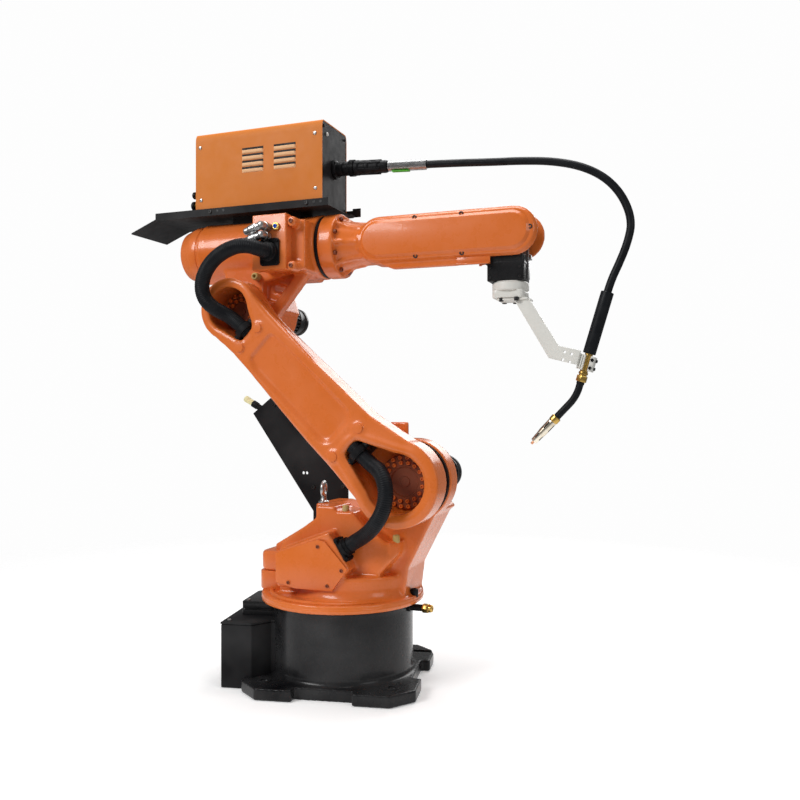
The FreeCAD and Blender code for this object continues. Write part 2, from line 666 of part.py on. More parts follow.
def forearm_casting():
    """Roll flange, neck and the forked forearm that holds the wrist."""
    front = "front_x - seal_x + seal_width + joint_gap"
    flange = cylinder("roll_flange", "housing_radius + 1", "neck_flange", (front, 0, "roll_height"),
                      ALONG_X)
    neck = cylinder("forearm_neck", "neck_radius", "cover_start + seal_x - seal_width - joint_gap",
                    (front, 0, "roll_height"), ALONG_X)
    width = "2 * forearm_half"
    first = "front_x + cover_start"
    last = "front_x + cover_end"
    rounds = [cylinder(f"forearm_round_{n}", "forearm_radius", width, (x, "forearm_half", "roll_height"),
                       NEARWARD)
              for n, x in enumerate((first, last))]
    beam = prism("forearm_beam", [
        (first, "roll_height - forearm_radius"), (f"{first} + 34", "roll_height - belt_depth"),
        ("wrist_x - 106", "roll_height - belt_depth"), ("wrist_x - 50", "roll_height - forearm_radius"),
        (last, "roll_height - forearm_radius"), (last, "roll_height + forearm_radius"),
        (first, "roll_height + forearm_radius"),
    ], width, (0, "forearm_half", 0), NEARWARD)
    fork = box("fork_room", (260, "2 * slot_half", 200), ("wrist_x - 113", "-slot_half", "roll_height - 166"))
    fork_top = box("fork_top_room", (200, "2 * slot_half", 120), ("wrist_x - wrist_radius - 8",
                   "-slot_half", "roll_height"))
    blank = fuse("forearm_pieces", [flange, neck, *rounds, beam])
    return subpart(cut("forearm_solid", blank, fork, fork_top), "forearm_casting")


def forearm_cover(name, start, turn):
    """Long round-ended cover plate on one side of the forearm."""
    rounds = [cylinder(f"{name}_{end}", "cover_radius", "forearm_cover", (f"front_x + {end}", start,
                       "roll_height"), turn)
              for end in ("cover_start", "cover_end")]
    side = start if turn is FARWARD else f"{start} - forearm_cover"
    middle = box(name + "_middle", ("cover_end - cover_start", "forearm_cover", "2 * cover_radius"),
                 ("front_x + cover_start", side, "roll_height - cover_radius"))
    return subpart(fuse(name + "_solid", [*rounds, middle]), name)


# ---------------------------------------------------------------- wrist and tool

def wrist_housing():
    """Black wrist body between the fork's arms, on two short trunnions."""
    drum = cylinder("wrist_drum", "wrist_radius", "2 * wrist_half", ("wrist_x", "wrist_half",
                    "roll_height"), NEARWARD)
    trunnion = cylinder("wrist_trunnion", "pivot_radius", "2 * (slot_half - joint_gap)",
                        ("wrist_x", "slot_half - joint_gap", "roll_height"), NEARWARD)
    block = box("wrist_block", ("wrist_radius + 41", "2 * wrist_half", "wrist_drop"),
                ("wrist_x - wrist_radius - 3", "-wrist_half", "wrist_bottom"))
    return subpart(fuse("wrist_solid", [drum, trunnion, block]), "wrist_housing")


def flange_adapter():
    disc = cylinder("adapter_disc", "adapter_radius", "adapter_height", ("wrist_x", 0, "adapter_bottom"))
    return subpart(disc, "torch_flange_adapter")


def torch_bracket():
    """Bent flat bar from the adapter down to the torch clamp."""
    clamp_x = "wrist_x + clamp_forward"
    clamp_height = "adapter_bottom - clamp_drop"
    plate = prism("bracket_plate", [
        ("wrist_x + 10", "adapter_bottom"), ("wrist_x + 45", "adapter_bottom"),
        (f"{clamp_x} - 57", f"{clamp_height} + 38"), (f"{clamp_x} + 14", f"{clamp_height} + 21"),
        (f"{clamp_x} + 6", f"{clamp_height} - 11"), (f"{clamp_x} - 79", f"{clamp_height} + 11"),
    ], "bracket_sheet", (0, -16, 0), NEARWARD)
    seat = box("bracket_seat", (72, 56, 6), ("wrist_x - 26", -28, "adapter_bottom - 6"))
    spots = [(-44, 24), (-29, 19), (-48, 7), (-33, 2)]
    holes = [cylinder(f"bracket_hole_{n}", 3.2, "bracket_sheet + 12", (f"{clamp_x} + ({x})", -10,
                      f"{clamp_height} + {rise}"), NEARWARD)
             for n, (x, rise) in enumerate(spots)]
    return subpart(cut("bracket_solid", fuse("bracket_body", [plate, seat]), *holes), "torch_bracket")


def torch_place(along):
    """A point on the torch axis, measured up from the clamp's centre."""
    tilt = math.radians(size.torch_tilt)
    return Vector(size.clamp_x + along * math.sin(tilt), 0, size.clamp_height + along * math.cos(tilt))


def on_torch(item, name, along=0):
    return lay(item, name, torch_place(along), Rotation(Vector(0, 1, 0), size.torch_tilt))


def torch_clamp():
    half = "clamp_half"
    block = box("clamp_block", (f"2 * {half}", 40, f"2 * {half}"), (f"-{half}", -16, f"-{half}"))
    bore = cylinder("clamp_bore", "torch_radius", f"2 * {half} + 2", (0, 0, f"-{half} - 1"))
    return on_torch(cut("clamp_solid", block, bore), "torch_clamp")


def torch_sleeve():
    sleeve = cylinder("sleeve_body", "sleeve_radius", "sleeve_length", (0, 0, 0))
    return on_torch(fuse("sleeve_solid", [sleeve, cone("sleeve_end", "sleeve_radius", "sleeve_radius - 3",
                    "2 * sleeve_gap", (0, 0, "sleeve_length"))]), "torch_sleeve", size.sleeve_start)


def torch_body():
    body = cylinder("torch_core", "torch_radius", "2 * clamp_half + sleeve_gap + body_length",
                    (0, 0, "-clamp_half - body_length"))
    nut = cylinder("torch_nut", "torch_radius + 3", "body_length - 10", (0, 0, "-clamp_half - body_length"))
    return on_torch(fuse("torch_body_solid", [body, nut]), "torch_body")


def neck_path():
    """Start, arc middle, arc end and tip direction of the swan neck, in the torch's plane."""
    start_angle = math.radians(size.torch_tilt)
    end_angle = math.radians(size.torch_tilt + size.neck_turn)
    down = Vector(-math.sin(start_angle), 0, -math.cos(start_angle))
    out = Vector(-math.sin(end_angle), 0, -math.cos(end_angle))
    top = torch_place(-size.clamp_half - size.body_length)
    bend_start = top + down * size.neck_first
    centre = bend_start + Vector(-math.cos(start_angle), 0, math.sin(start_angle)) * size.neck_bend
    middle_angle = (start_angle + end_angle) / 2
    middle = centre + Vector(math.cos(middle_angle), 0, -math.sin(middle_angle)) * size.neck_bend
    bend_end = centre + Vector(math.cos(end_angle), 0, -math.sin(end_angle)) * size.neck_bend
    return top, bend_start, middle, bend_end, bend_end + out * size.neck_last, out


def swan_neck():
    top, bend_start, middle, bend_end, end, _ = neck_path()
    path = Part.Wire([
        Part.LineSegment(top, bend_start).toShape(),
        Part.Arc(bend_start, middle, bend_end).toShape(),
        Part.LineSegment(bend_end, end).toShape(),
    ])
    ring = Part.Wire([Part.Circle(top, bend_start - top, size.neck_tube).toShape()])
    return subpart(feature("neck_solid", path.makePipeShell([ring], True, True)), "swan_neck")


def on_nozzle(item, name):
    """Place a sub-part drawn along +Z on the neck's end."""
    *_, end, out = neck_path()
    return lay(item, name, end, Rotation(Vector(0, 0, 1), out))


def gas_nozzle():
    ring = cylinder("nozzle_collar", "nozzle_radius + 1", "nozzle_ring", (0, 0, 0))
    tube = cone("nozzle_tube", "nozzle_radius", "nozzle_mouth", "nozzle_length", (0, 0, "nozzle_ring"))
    bore = cylinder("nozzle_bore", "nozzle_mouth - 1.5", "tip_seat + 1",
                    (0, 0, "nozzle_ring + nozzle_length - tip_seat"))
    return on_nozzle(cut("nozzle_solid", fuse("nozzle_body", [ring, tube]), bore), "gas_nozzle")


def contact_tip():
    seat = (0, 0, "nozzle_ring + nozzle_length - tip_seat")
    return on_nozzle(fuse("tip_solid", [
        cylinder("tip_body", "tip_radius", "tip_seat + tip_length", seat),
        cylinder("tip_base", "tip_radius + 1.5", "tip_seat / 2", seat),
    ]), "contact_tip")


# ---------------------------------------------------------------- hoses and torch cable

def by_gland(x, out, height):
    """A point near the turret; out is counted from the face that the cable box stands on."""
    return Vector(x, -size.belly_near - out, height)


def by_front(x, out, rise):
    """A point near the elbow; x and rise are counted from the roll axis where the forearm starts."""
    return Vector(size.front_x + x, -out, size.roll_height + rise)


GLAND_SEAT = by_gland(51.5, 23, 332)

LOWER_HOSE = [
    by_gland(56.6, 23, 335.2), by_gland(89, 23, 355.4), by_gland(120, 56, 371), by_gland(156, 91, 396),
    by_gland(183, 98, 434), by_gland(190, 97, 480), by_gland(172, 86, 520),
    on_arm(size.foot_clamp - 29, 13), on_arm(size.foot_clamp + 29, 13),
]

UPPER_HOSE = [
    by_front(-125, 146, -30), by_front(-125, 178, -30), by_front(-162, 197, -19),
    by_front(-207, 200, -29), by_front(-248, 198, -53), by_front(-276, 194, -91),
    by_front(-279, 188, -131), by_front(-256, 181, -160),
    on_arm(size.upper_arm - size.head_clamp + 48, 8), on_arm(size.upper_arm - size.head_clamp - 8, 8),
]

TORCH_CABLE = [
    on_plug(199), on_plug(261), by_front(378, 0, 169), by_front(446, 0, 165), by_front(515, 0, 157),
    by_front(580, 0, 139), by_front(632, 0, 108), by_front(668, 0, 63), by_front(686, 0, 9),
    by_front(676, 0, -37), by_front(659, 0, -79),
    torch_place(size.sleeve_start + size.sleeve_length + 2 * size.sleeve_gap + 26),
    torch_place(size.sleeve_start + size.sleeve_length + 2 * size.sleeve_gap),
]


def cord_tube(points, radius):
    """Tube along straight runs joined by the largest tangent arcs that the runs allow."""
    edges = []
    radii = []
    last = points[0]
    for before, corner, after in zip(points, points[1:], points[2:]):
        into = (corner - before).normalize()
        out = (after - corner).normalize()
        half_turn = into.getAngle(out) / 2
        reach = 0.45 * min((corner - before).Length, (after - corner).Length)
        bend = reach / math.tan(half_turn)
        inward = (out - into).normalize()
        middle = corner + inward * (bend / math.cos(half_turn) - bend)
        first = corner - into * reach
        second = corner + out * reach
        edges += [Part.LineSegment(last, first).toShape(), Part.Arc(first, middle, second).toShape()]
        radii.append(round(bend))
        last = second
    edges.append(Part.LineSegment(last, points[-1]).toShape())
    path = Part.Wire(edges)
    ring = Part.Wire([Part.Circle(points[0], points[1] - points[0], radius).toShape()])
    tube = path.makePipeShell([ring], True, True)
    swept = math.pi * radius ** 2 * path.Length
    print("cord of", round(path.Length), "mm, radii", radii, "volume ratio", round(tube.Volume / swept, 4))
    return tube


def midpoint(points, index):
    return (points[index] + points[index + 1]) * 0.5


def cords():
    subpart(feature("lower_hose_tube", cord_tube(LOWER_HOSE, size.hose_radius)), "lower_hose")
    subpart(feature("upper_hose_tube", cord_tube(UPPER_HOSE, size.hose_radius)), "upper_hose")
    first, second = midpoint(TORCH_CABLE, 3), midpoint(TORCH_CABLE, 8)
    runs = {
        "torch_cable_rear": [*TORCH_CABLE[:4], first],
        "torch_cable_middle": [first, *TORCH_CABLE[4:9], second],
        "torch_cable_front": [second, *TORCH_CABLE[9:]],
    }
    for name, points in runs.items():
        subpart(feature(name + "_tube", cord_tube(points, size.cable_radius)), name)


# ---------------------------------------------------------------- assembly

def build():
    fill_sheet()
    base_casting()
    connector_box()
    terminal_block()
    stop_fitting()
    casting = turret_casting()
    turret_cable_cover()
    turret_gland()
    turret_motor_cover(casting)
    lifting_eye()
    shoulder_reducer()
    axis_motor("shoulder_motor", "shoulder_x", "shoulder_height", "web_far", "motor_radius",
               "motor_length")
    rear_panel()
    panel_plug()
    stop_bumpers(casting)
    lower_arm_link()
    gear_disc("shoulder_gear_disc", "gear_disc", 0)
    gear_disc("elbow_gear_disc", "head_disc", "upper_arm")
    hose_clamp("lower_hose_clamp", size.foot_clamp, 13)
    hose_clamp("upper_hose_clamp", size.upper_arm - size.head_clamp, 8)
    elbow_casting()
    roll_motor_cover()
    cable_entry_box()
    elbow_gland()
    elbow_connectors()
    air_port()
    elbow_bumper()
    roll_seal()
    axis_motor("elbow_motor", "elbow_x", "elbow_height", "elbow_far", "elbow_motor", "motor_length")
    feeder_tray()
    feeder_housing()
    feeder_cover()
    feeder_fittings()
    torch_socket()
    torch_plug()
    cable_spring()
    forearm_casting()
    forearm_cover("forearm_cover_near", "-forearm_half", NEARWARD)
    forearm_cover("forearm_cover_far", "forearm_half", FARWARD)
    wrist_housing()
    flange_adapter()
    torch_bracket()
    torch_clamp()
    torch_sleeve()
    torch_body()
    swan_neck()
    gas_nozzle()
    contact_tip()
    cords()
    doc.recompute()


def check():
    """Stop if any object failed or any sub-part has no valid solid."""
    for item in doc.Objects:
        if {"Invalid", "Error"} & set(item.State):
            raise RuntimeError(f"{item.Label} did not build")
    for item in SUBPARTS:
        if item.Shape.isNull() or not item.Shape.isValid() or not item.Shape.Solids:
            raise RuntimeError(f"{item.Label} has no valid solid")


def export():
    os.makedirs("parts", exist_ok=True)
    for item in SUBPARTS:
        item.Shape.exportStep(f"parts/{item.Label}.step")
        print(f"{item.Label}: {item.Shape.Volume / 1000:.0f} cm3, {len(item.Shape.Solids)} solid(s)")


build()
check()
export()
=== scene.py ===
"""Studio scene of a six-axis factory arm with a wire feeder and a welding torch.

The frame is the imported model's: +Z up, the first axis at the origin, the forearm along +X and the lower arm on
the -Y side. Sizes are in millimetres; a piece turns to metres when it is published. Cords are in metres.
"""

import logging
import math
from dataclasses import dataclass
from enum import Enum
from typing import Callable, Iterable, Sequence

import bmesh
import bpy
import numpy as np
from mathutils import Matrix, Vector


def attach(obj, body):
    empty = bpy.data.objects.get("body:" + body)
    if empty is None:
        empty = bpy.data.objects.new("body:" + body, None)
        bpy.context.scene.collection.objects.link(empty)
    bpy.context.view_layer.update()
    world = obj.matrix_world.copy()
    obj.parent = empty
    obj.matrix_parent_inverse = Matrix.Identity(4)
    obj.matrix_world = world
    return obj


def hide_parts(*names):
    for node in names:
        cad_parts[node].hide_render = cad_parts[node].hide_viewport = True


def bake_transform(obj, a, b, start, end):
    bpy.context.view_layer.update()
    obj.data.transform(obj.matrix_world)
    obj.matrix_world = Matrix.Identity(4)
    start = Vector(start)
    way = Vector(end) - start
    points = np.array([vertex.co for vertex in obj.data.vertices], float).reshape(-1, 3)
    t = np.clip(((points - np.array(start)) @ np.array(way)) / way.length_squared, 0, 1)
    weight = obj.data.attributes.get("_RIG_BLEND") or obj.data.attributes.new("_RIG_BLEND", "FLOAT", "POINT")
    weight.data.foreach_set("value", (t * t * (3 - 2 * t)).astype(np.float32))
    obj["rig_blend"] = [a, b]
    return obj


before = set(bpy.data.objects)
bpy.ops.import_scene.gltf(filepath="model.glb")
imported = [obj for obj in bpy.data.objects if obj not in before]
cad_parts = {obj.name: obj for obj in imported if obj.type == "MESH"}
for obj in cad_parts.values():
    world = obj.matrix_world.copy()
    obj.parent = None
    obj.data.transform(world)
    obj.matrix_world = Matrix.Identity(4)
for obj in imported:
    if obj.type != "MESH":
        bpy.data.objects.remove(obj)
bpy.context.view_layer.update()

LOG = logging.getLogger("arm")
Point = Sequence[float]
Outline = Sequence[tuple[float, float]]

MM = 0.001
SHOULDER_X, SHOULDER_Z = 195.0, 490.0
ELBOW_X, ELBOW_Z = -228.6, 892.0
ROLL_Z = 1053.0
WRIST_X = 418.0
ARM_FACE = -60.3
ARM_LEAN = math.radians(46.5)
BASE_TURN = math.radians(10.5)
MERGE = 1e-3
EDGE_RADIUS = 6.0
HOSE_BORE = 17.6
SENSOR_WIDTH = 36.0
ROUTE_STEPS = 48
CABLE_STEP = 4.0
RIB_WAVE = (0.0, 0.75, 1.0, 0.75)
SHARP = math.radians(24)


class Axis(Enum):
    """The way a shape's own +Z is laid. NEARWARD keeps a plate's own X and turns its Y up."""

    UP = Matrix.Identity(4)
    DOWN = Matrix.Rotation(math.pi, 4, "X")
    NEARWARD = Matrix.Rotation(math.pi / 2, 4, "X")
    FARWARD = Matrix.Rotation(-math.pi / 2, 4, "X")
    FORWARD = Matrix.Rotation(math.pi / 2, 4, "Y")
    BACKWARD = Matrix.Rotation(-math.pi / 2, 4, "Y")


class Body(Enum):
    """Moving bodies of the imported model."""

    BASE = "base"
    TURRET = "turret"
    LOWER_ARM = "lower_arm"
    ELBOW = "elbow"
    FOREARM = "forearm"
    WRIST = "wrist"
    TOOL = "tool"


# ------------------------------------------------------------------ finishes

class Graph:
    """Short spellings for the nodes of one material."""

    def __init__(self, name: str) -> None:
        """Start a material that holds one Principled shader.

        Args:
            name: Name of the material.
        """
        self.material = bpy.data.materials.new(name)
        self.material.use_nodes = True
        self.tree = self.material.node_tree
        self.shader = self.tree.nodes["Principled BSDF"]
        self.place = self.tree.nodes.new("ShaderNodeTexCoord").outputs["Object"]

    def stretched(self, scale: Point) -> bpy.types.NodeSocket:
        """Object coordinates with a scale of their own along each axis.

        Args:
            scale: Scale along X, Y and Z.

        Returns:
            The scaled coordinates.
        """
        node = self.tree.nodes.new("ShaderNodeMapping")
        node.inputs["Scale"].default_value = scale
        self.tree.links.new(self.place, node.inputs["Vector"])
        return node.outputs["Vector"]

    def noise(self, scale: float, detail: float = 3.0, rough: float = 0.5,
              place: bpy.types.NodeSocket | None = None) -> bpy.types.NodeSocket:
        """A noise value.

        Args:
            scale: Waves in a metre.
            detail: Octaves.
            rough: Weight of the finer octaves.
            place: Coordinates other than the object's own.

        Returns:
            The node's factor.
        """
        node = self.tree.nodes.new("ShaderNodeTexNoise")
        node.inputs["Scale"].default_value = scale
        node.inputs["Detail"].default_value = detail
        node.inputs["Roughness"].default_value = rough
        self.tree.links.new(place or self.place, node.inputs["Vector"])
        return node.outputs["Fac"]

    def cells(self, scale: float) -> bpy.types.NodeSocket:
        """Distance to the nearest point of a scatter of points, scale of them in a metre.

        Args:
            scale: Points in a metre.

        Returns:
            The distance.
        """
        node = self.tree.nodes.new("ShaderNodeTexVoronoi")
        node.inputs["Scale"].default_value = scale
        self.tree.links.new(self.place, node.inputs["Vector"])
        return node.outputs["Distance"]

    def attribute(self, name: str) -> bpy.types.NodeSocket:
        """A value stored on the mesh.

        Args:
            name: Name of the attribute.

        Returns:
            The value.
        """
        node = self.tree.nodes.new("ShaderNodeAttribute")
        node.attribute_name = name
        return node.outputs["Fac"]

    def spread(self, value: bpy.types.NodeSocket, low: float, high: float,
               start: float = 0.3, end: float = 0.7) -> bpy.types.NodeSocket:
        """Stretch a value between start and end to the range from low to high.

        Args:
            value: The value to stretch.
            low: Result at start and below.
            high: Result at end and above.
            start: First value of the range that is used.
            end: Last value of the range that is used.

        Returns:
            The stretched value.
        """
        node = self.tree.nodes.new("ShaderNodeMapRange")
        for socket, number in (("From Min", start), ("From Max", end), ("To Min", low), ("To Max", high)):
            node.inputs[socket].default_value = number
        self.tree.links.new(value, node.inputs["Value"])
        return node.outputs["Result"]

    def blend(self, share: bpy.types.NodeSocket, first: Point | bpy.types.NodeSocket,
              second: Point) -> bpy.types.NodeSocket:
        """Mix two colours.

        Args:
            share: Share of the second colour.
            first: A colour, or a socket that carries one.
            second: The other colour.

        Returns:
            The mixed colour.
        """
        node = self.tree.nodes.new("ShaderNodeMix")
        node.data_type = "RGBA"
        self.tree.links.new(share, node.inputs["Factor"])
        start, end = (socket for socket in node.inputs if socket.type == "RGBA")
        if isinstance(first, bpy.types.NodeSocket):
            self.tree.links.new(first, start)
        else:
            start.default_value = (*first, 1.0)
        end.default_value = (*second, 1.0)
        return next(socket for socket in node.outputs if socket.type == "RGBA")

    def bump(self, layers: Iterable[tuple[bpy.types.NodeSocket, float]]) -> None:
        """Raise the surface by each value in turn, to its height in metres.

        Args:
            layers: Values with their heights in metres.
        """
        normal = None
        for value, height in layers:
            node = self.tree.nodes.new("ShaderNodeBump")
            node.inputs["Strength"].default_value = 1.0
            node.inputs["Distance"].default_value = height
            self.tree.links.new(value, node.inputs["Height"])
            if normal is not None:
                self.tree.links.new(normal, node.inputs["Normal"])
            normal = node.outputs["Normal"]
        self.tree.links.new(normal, self.shader.inputs["Normal"])

    def feed(self, socket: str, value: bpy.types.NodeSocket | float) -> None:
        """Link or set one of the shader's inputs.

        Args:
            socket: Name of the input.
            value: A socket to link, or the value to set.
        """
        if isinstance(value, bpy.types.NodeSocket):
            self.tree.links.new(value, self.shader.inputs[socket])
        else:
            self.shader.inputs[socket].default_value = value


def lighter(colour: Point, share: float) -> tuple[float, ...]:
    """The colour moved towards white by a share, or towards black by a negative one."""
    goal = 1.0 if share > 0 else 0.0
    return tuple(c + (goal - c) * abs(share) for c in colour)


@dataclass(frozen=True)
class Finish:
    """A surface finish; the fields are what differs from one to the next."""

    name: str
    slot: str
    colour: tuple[float, float, float]
    roughness: float = 0.4

    def paint(self, graph: Graph) -> None:
        """Fill in the material's nodes.

        Args:
            graph: The material's nodes.
        """
        raise NotImplementedError

    def material(self) -> bpy.types.Material:
        """The finish's material, made once.

        Returns:
            The material.
        """
        found = bpy.data.materials.get(self.name)
        if found is None:
            graph = Graph(self.name)
            self.paint(graph)
            found = graph.material
        return found


@dataclass(frozen=True)
class Enamel(Finish):
    """Sprayed enamel: faint mottling, orange peel, and edges of castings painted lighter, partly as thinner paint
    and partly as a painted highlight.
    """

    coat: float = 0.3
    casting_wave: float = 0.0003
    peel: float = 0.00004
    edge_wear_and_highlight: float = 0.05
    gloss: float = 0.28

    def paint(self, graph: Graph) -> None:
        """Fill in the material's nodes.

        Args:
            graph: The material's nodes.
        """
        mottle = graph.spread(graph.noise(9.0, 4.0), 0.0, 1.0)
        base = graph.blend(mottle, lighter(self.colour, -0.07), lighter(self.colour, 0.03))
        # Convex edges are lighter: partly paint worn thin, partly a painted highlight.
        edge = graph.spread(graph.attribute("edge"), 0.0, 0.5, 0.25, 0.9)
        base = graph.blend(edge, base, lighter(self.colour, self.edge_wear_and_highlight))
        graph.feed("Base Color", base)
        graph.feed("Roughness", graph.spread(graph.noise(35.0, 4.0, 0.6), self.roughness - 0.06,
                                             self.roughness + 0.08))
        graph.feed("Coat Weight", self.coat)
        graph.feed("Coat Roughness", 0.10)
        graph.feed("Specular IOR Level", self.gloss)
        graph.bump([(graph.noise(22.0, 2.0), self.casting_wave), (graph.noise(420.0, 2.0), self.peel)])


@dataclass(frozen=True)
class Powder(Finish):
    """Powder coat on sheet metal: an even fine grain."""

    grain: float = 0.00006
    gloss: float = 0.25

    def paint(self, graph: Graph) -> None:
        """Fill in the material's nodes.

        Args:
            graph: The material's nodes.
        """
        base = graph.blend(graph.spread(graph.noise(6.0, 3.0), 0.0, 1.0), lighter(self.colour, -0.05),
                           lighter(self.colour, 0.03))
        graph.feed("Base Color", base)
        graph.feed("Roughness", graph.spread(graph.noise(60.0, 3.0), self.roughness - 0.05,
                                             self.roughness + 0.07))
        graph.feed("Specular IOR Level", self.gloss)
        graph.bump([(graph.noise(900.0, 2.0), self.grain)])


@dataclass(frozen=True)
class Rubber(Finish):
    """Rubber and matt plastic: pores, and a dry bloom that lightens it in patches."""

    bloom: float = 0.05
    pores: float = 0.00008
    gloss: float = 0.12

    def paint(self, graph: Graph) -> None:
        """Fill in the material's nodes.

        Args:
            graph: The material's nodes.
        """
        patches = graph.spread(graph.noise(28.0, 5.0, 0.65), 0.0, 1.0, 0.35, 0.75)
        graph.feed("Base Color", graph.blend(patches, self.colour, lighter(self.colour, self.bloom)))
        graph.feed("Roughness", graph.spread(graph.noise(45.0, 4.0), self.roughness - 0.08,
                                             self.roughness + 0.1))
        graph.feed("Specular IOR Level", self.gloss)
        graph.bump([(graph.cells(1300.0), self.pores), (graph.noise(60.0, 3.0), self.pores * 2)])


@dataclass(frozen=True)
class BareMetal(Finish):
    """Turned or plated metal: fine tool marks, and stains where it has been handled."""

    stain: float = 0.25
    marks: tuple[float, float, float] = (40.0, 40.0, 900.0)

    def paint(self, graph: Graph) -> None:
        """Fill in the material's nodes.

        Args:
            graph: The material's nodes.
        """
        stains = graph.spread(graph.noise(55.0, 5.0, 0.6), 0.0, self.stain, 0.45, 0.8)
        graph.feed("Base Color", graph.blend(stains, self.colour, lighter(self.colour, -0.6)))
        marks = graph.noise(1.0, 3.0, 0.6, graph.stretched(self.marks))
        graph.feed("Roughness", graph.spread(marks, self.roughness - 0.08, self.roughness + 0.12))
        graph.feed("Metallic", 1.0)
        graph.bump([(marks, 0.00001)])


@dataclass(frozen=True)
class Burnt(BareMetal):
    """Nozzle metal that the arc has darkened and tinted along its length."""

    tint: tuple[float, float, float] = (0.45, 0.30, 0.12)

    def paint(self, graph: Graph) -> None:
        """Fill in the material's nodes.

        Args:
            graph: The material's nodes.
        """
        super().paint(graph)
        smoke = graph.spread(graph.noise(70.0, 5.0, 0.7), 0.0, 0.7, 0.4, 0.7)
        graph.feed("Base Color", graph.blend(smoke, self.colour, self.tint))


ORANGE = Enamel("enamel_orange", "orange_casting", (0.74, 0.160, 0.018), 0.28)
ORANGE_SHEET = Powder("powder_orange", "feeder_paint", (0.64, 0.185, 0.020), 0.46, gloss=0.10)
# Pale orange for the louvre scoops: a painted highlight on the feeder orange.
HIGHLIGHT_ORANGE = Powder("powder_orange_painted_highlight", "feeder_paint", (0.94, 0.56, 0.30), 0.46, gloss=0.10)
# Dark orange for reducer discs and screws set in openings and recesses: painted shade on the orange enamel.
SHADE_ORANGE = Enamel("enamel_orange_painted_shade", "gear_steel", (0.22, 0.045, 0.010), 0.40, coat=0.1)
BLACK_GLOSS = Enamel("enamel_black", "black_paint", (0.003, 0.003, 0.004), 0.26, coat=0.10,
                     casting_wave=0.00006, peel=0.00001, edge_wear_and_highlight=0.008, gloss=0.16)
BLACK_SHEET = Powder("powder_black", "black_paint", (0.004, 0.004, 0.005), 0.46, gloss=0.08)
BLACK_PLASTIC = Rubber("plastic_black", "black_plastic", (0.006, 0.006, 0.007), 0.44, bloom=0.006)
BLACK_RUBBER = Rubber("rubber_black", "black_rubber", (0.006, 0.007, 0.009), 0.42, bloom=0.010)
OCHRE_RUBBER = Rubber("rubber_ochre", "bumper_rubber", (0.45, 0.32, 0.08), 0.5, bloom=0.15)
ZINC = BareMetal("plated_zinc", "zinc_steel", (0.50, 0.50, 0.50), 0.30)
SCREW_BLACK = Enamel("oxide_black", "black_paint", (0.006, 0.006, 0.007), 0.38, coat=0.0, edge_wear_and_highlight=0.05)
BRASS = BareMetal("turned_brass", "brass", (0.62, 0.40, 0.11), 0.26)
COPPER = BareMetal("drawn_copper", "copper", (0.74, 0.34, 0.18), 0.3)
NOZZLE = Burnt("nozzle_brass", "brass", (0.86, 0.80, 0.68), 0.20)
WHITE = Enamel("enamel_white", "white_metal", (0.78, 0.77, 0.72), 0.34, coat=0.2, casting_wave=0.0001)
PALE = Rubber("plastic_pale", "pale_plug", (0.80, 0.76, 0.42), 0.4, bloom=0.1)
BLUE = Rubber("plastic_blue", "blue_plastic", (0.02, 0.12, 0.60), 0.3, bloom=0.03)
GREEN = Rubber("plastic_green", "black_plastic", (0.08, 0.45, 0.03), 0.45, bloom=0.05)


# ------------------------------------------------------------------ shapes

def rounded(part: bmesh.types.BMesh, width: float, steps: int = 3) -> bmesh.types.BMesh:
    """Round every sharp edge of a shape.

    Args:
        part: The shape.
        width: Width of the rounding; nothing is done at zero.
        steps: Segments across the rounding.

    Returns:
        The same shape.
    """
    if width > 0:
        edges = [e for e in part.edges if e.is_manifold and e.calc_face_angle(0.0) > SHARP]
        bmesh.ops.bevel(part, geom=edges, offset=width, offset_type="OFFSET", segments=steps, profile=0.5,
                        affect="EDGES", clamp_overlap=True, material=-1)
    return part


def disc(radius: float, depth: float, end_radius: float | None = None, steps: int = 64) -> bmesh.types.BMesh:
    """A cylinder or cone from z = 0 up to depth.

    Args:
        radius: Radius at the foot.
        depth: Height.
        end_radius: Radius at the top; the foot's when it is left out.
        steps: Segments round it.

    Returns:
        The closed shape.
    """
    part = bmesh.new()
    bmesh.ops.create_cone(part, cap_ends=True, segments=steps, radius1=radius,
                          radius2=radius if end_radius is None else end_radius, depth=depth)
    bmesh.ops.translate(part, verts=part.verts, vec=(0, 0, depth / 2))
    return part


def block(size: Point, corner: float = 0.0) -> bmesh.types.BMesh:
    """A block that stands on z = 0, centred on the origin, with its upright edges rounded to a corner radius.

    Args:
        size: Length, width and height.
        corner: Radius of its upright edges; they stay sharp at zero.

    Returns:
        The block.
    """
    part = bmesh.new()
    bmesh.ops.create_cube(part, size=1.0)
    bmesh.ops.scale(part, verts=part.verts, vec=size)
    bmesh.ops.translate(part, verts=part.verts, vec=(0, 0, size[2] / 2))
    if corner > 0:
        edges = [e for e in part.edges if abs(e.verts[0].co.z - e.verts[1].co.z) > MERGE]
        bmesh.ops.bevel(part, geom=edges, offset=corner, segments=12, profile=0.5, affect="EDGES",
                        clamp_overlap=True, material=-1)
    return part


def plate(outline: Outline, depth: float) -> bmesh.types.BMesh:
    """A plate with this outline, from z = 0 up to depth.

    Args:
        outline: Corners of the plate, in order.
        depth: Thickness.

    Returns:
        The plate.
    """
    part = bmesh.new()
    face = part.faces.new([part.verts.new((x, y, 0.0)) for x, y in outline])
    grown = bmesh.ops.extrude_face_region(part, geom=[face])
    bmesh.ops.translate(part, verts=[v for v in grown["geom"] if isinstance(v, bmesh.types.BMVert)],
                        vec=(0, 0, depth))
    return part


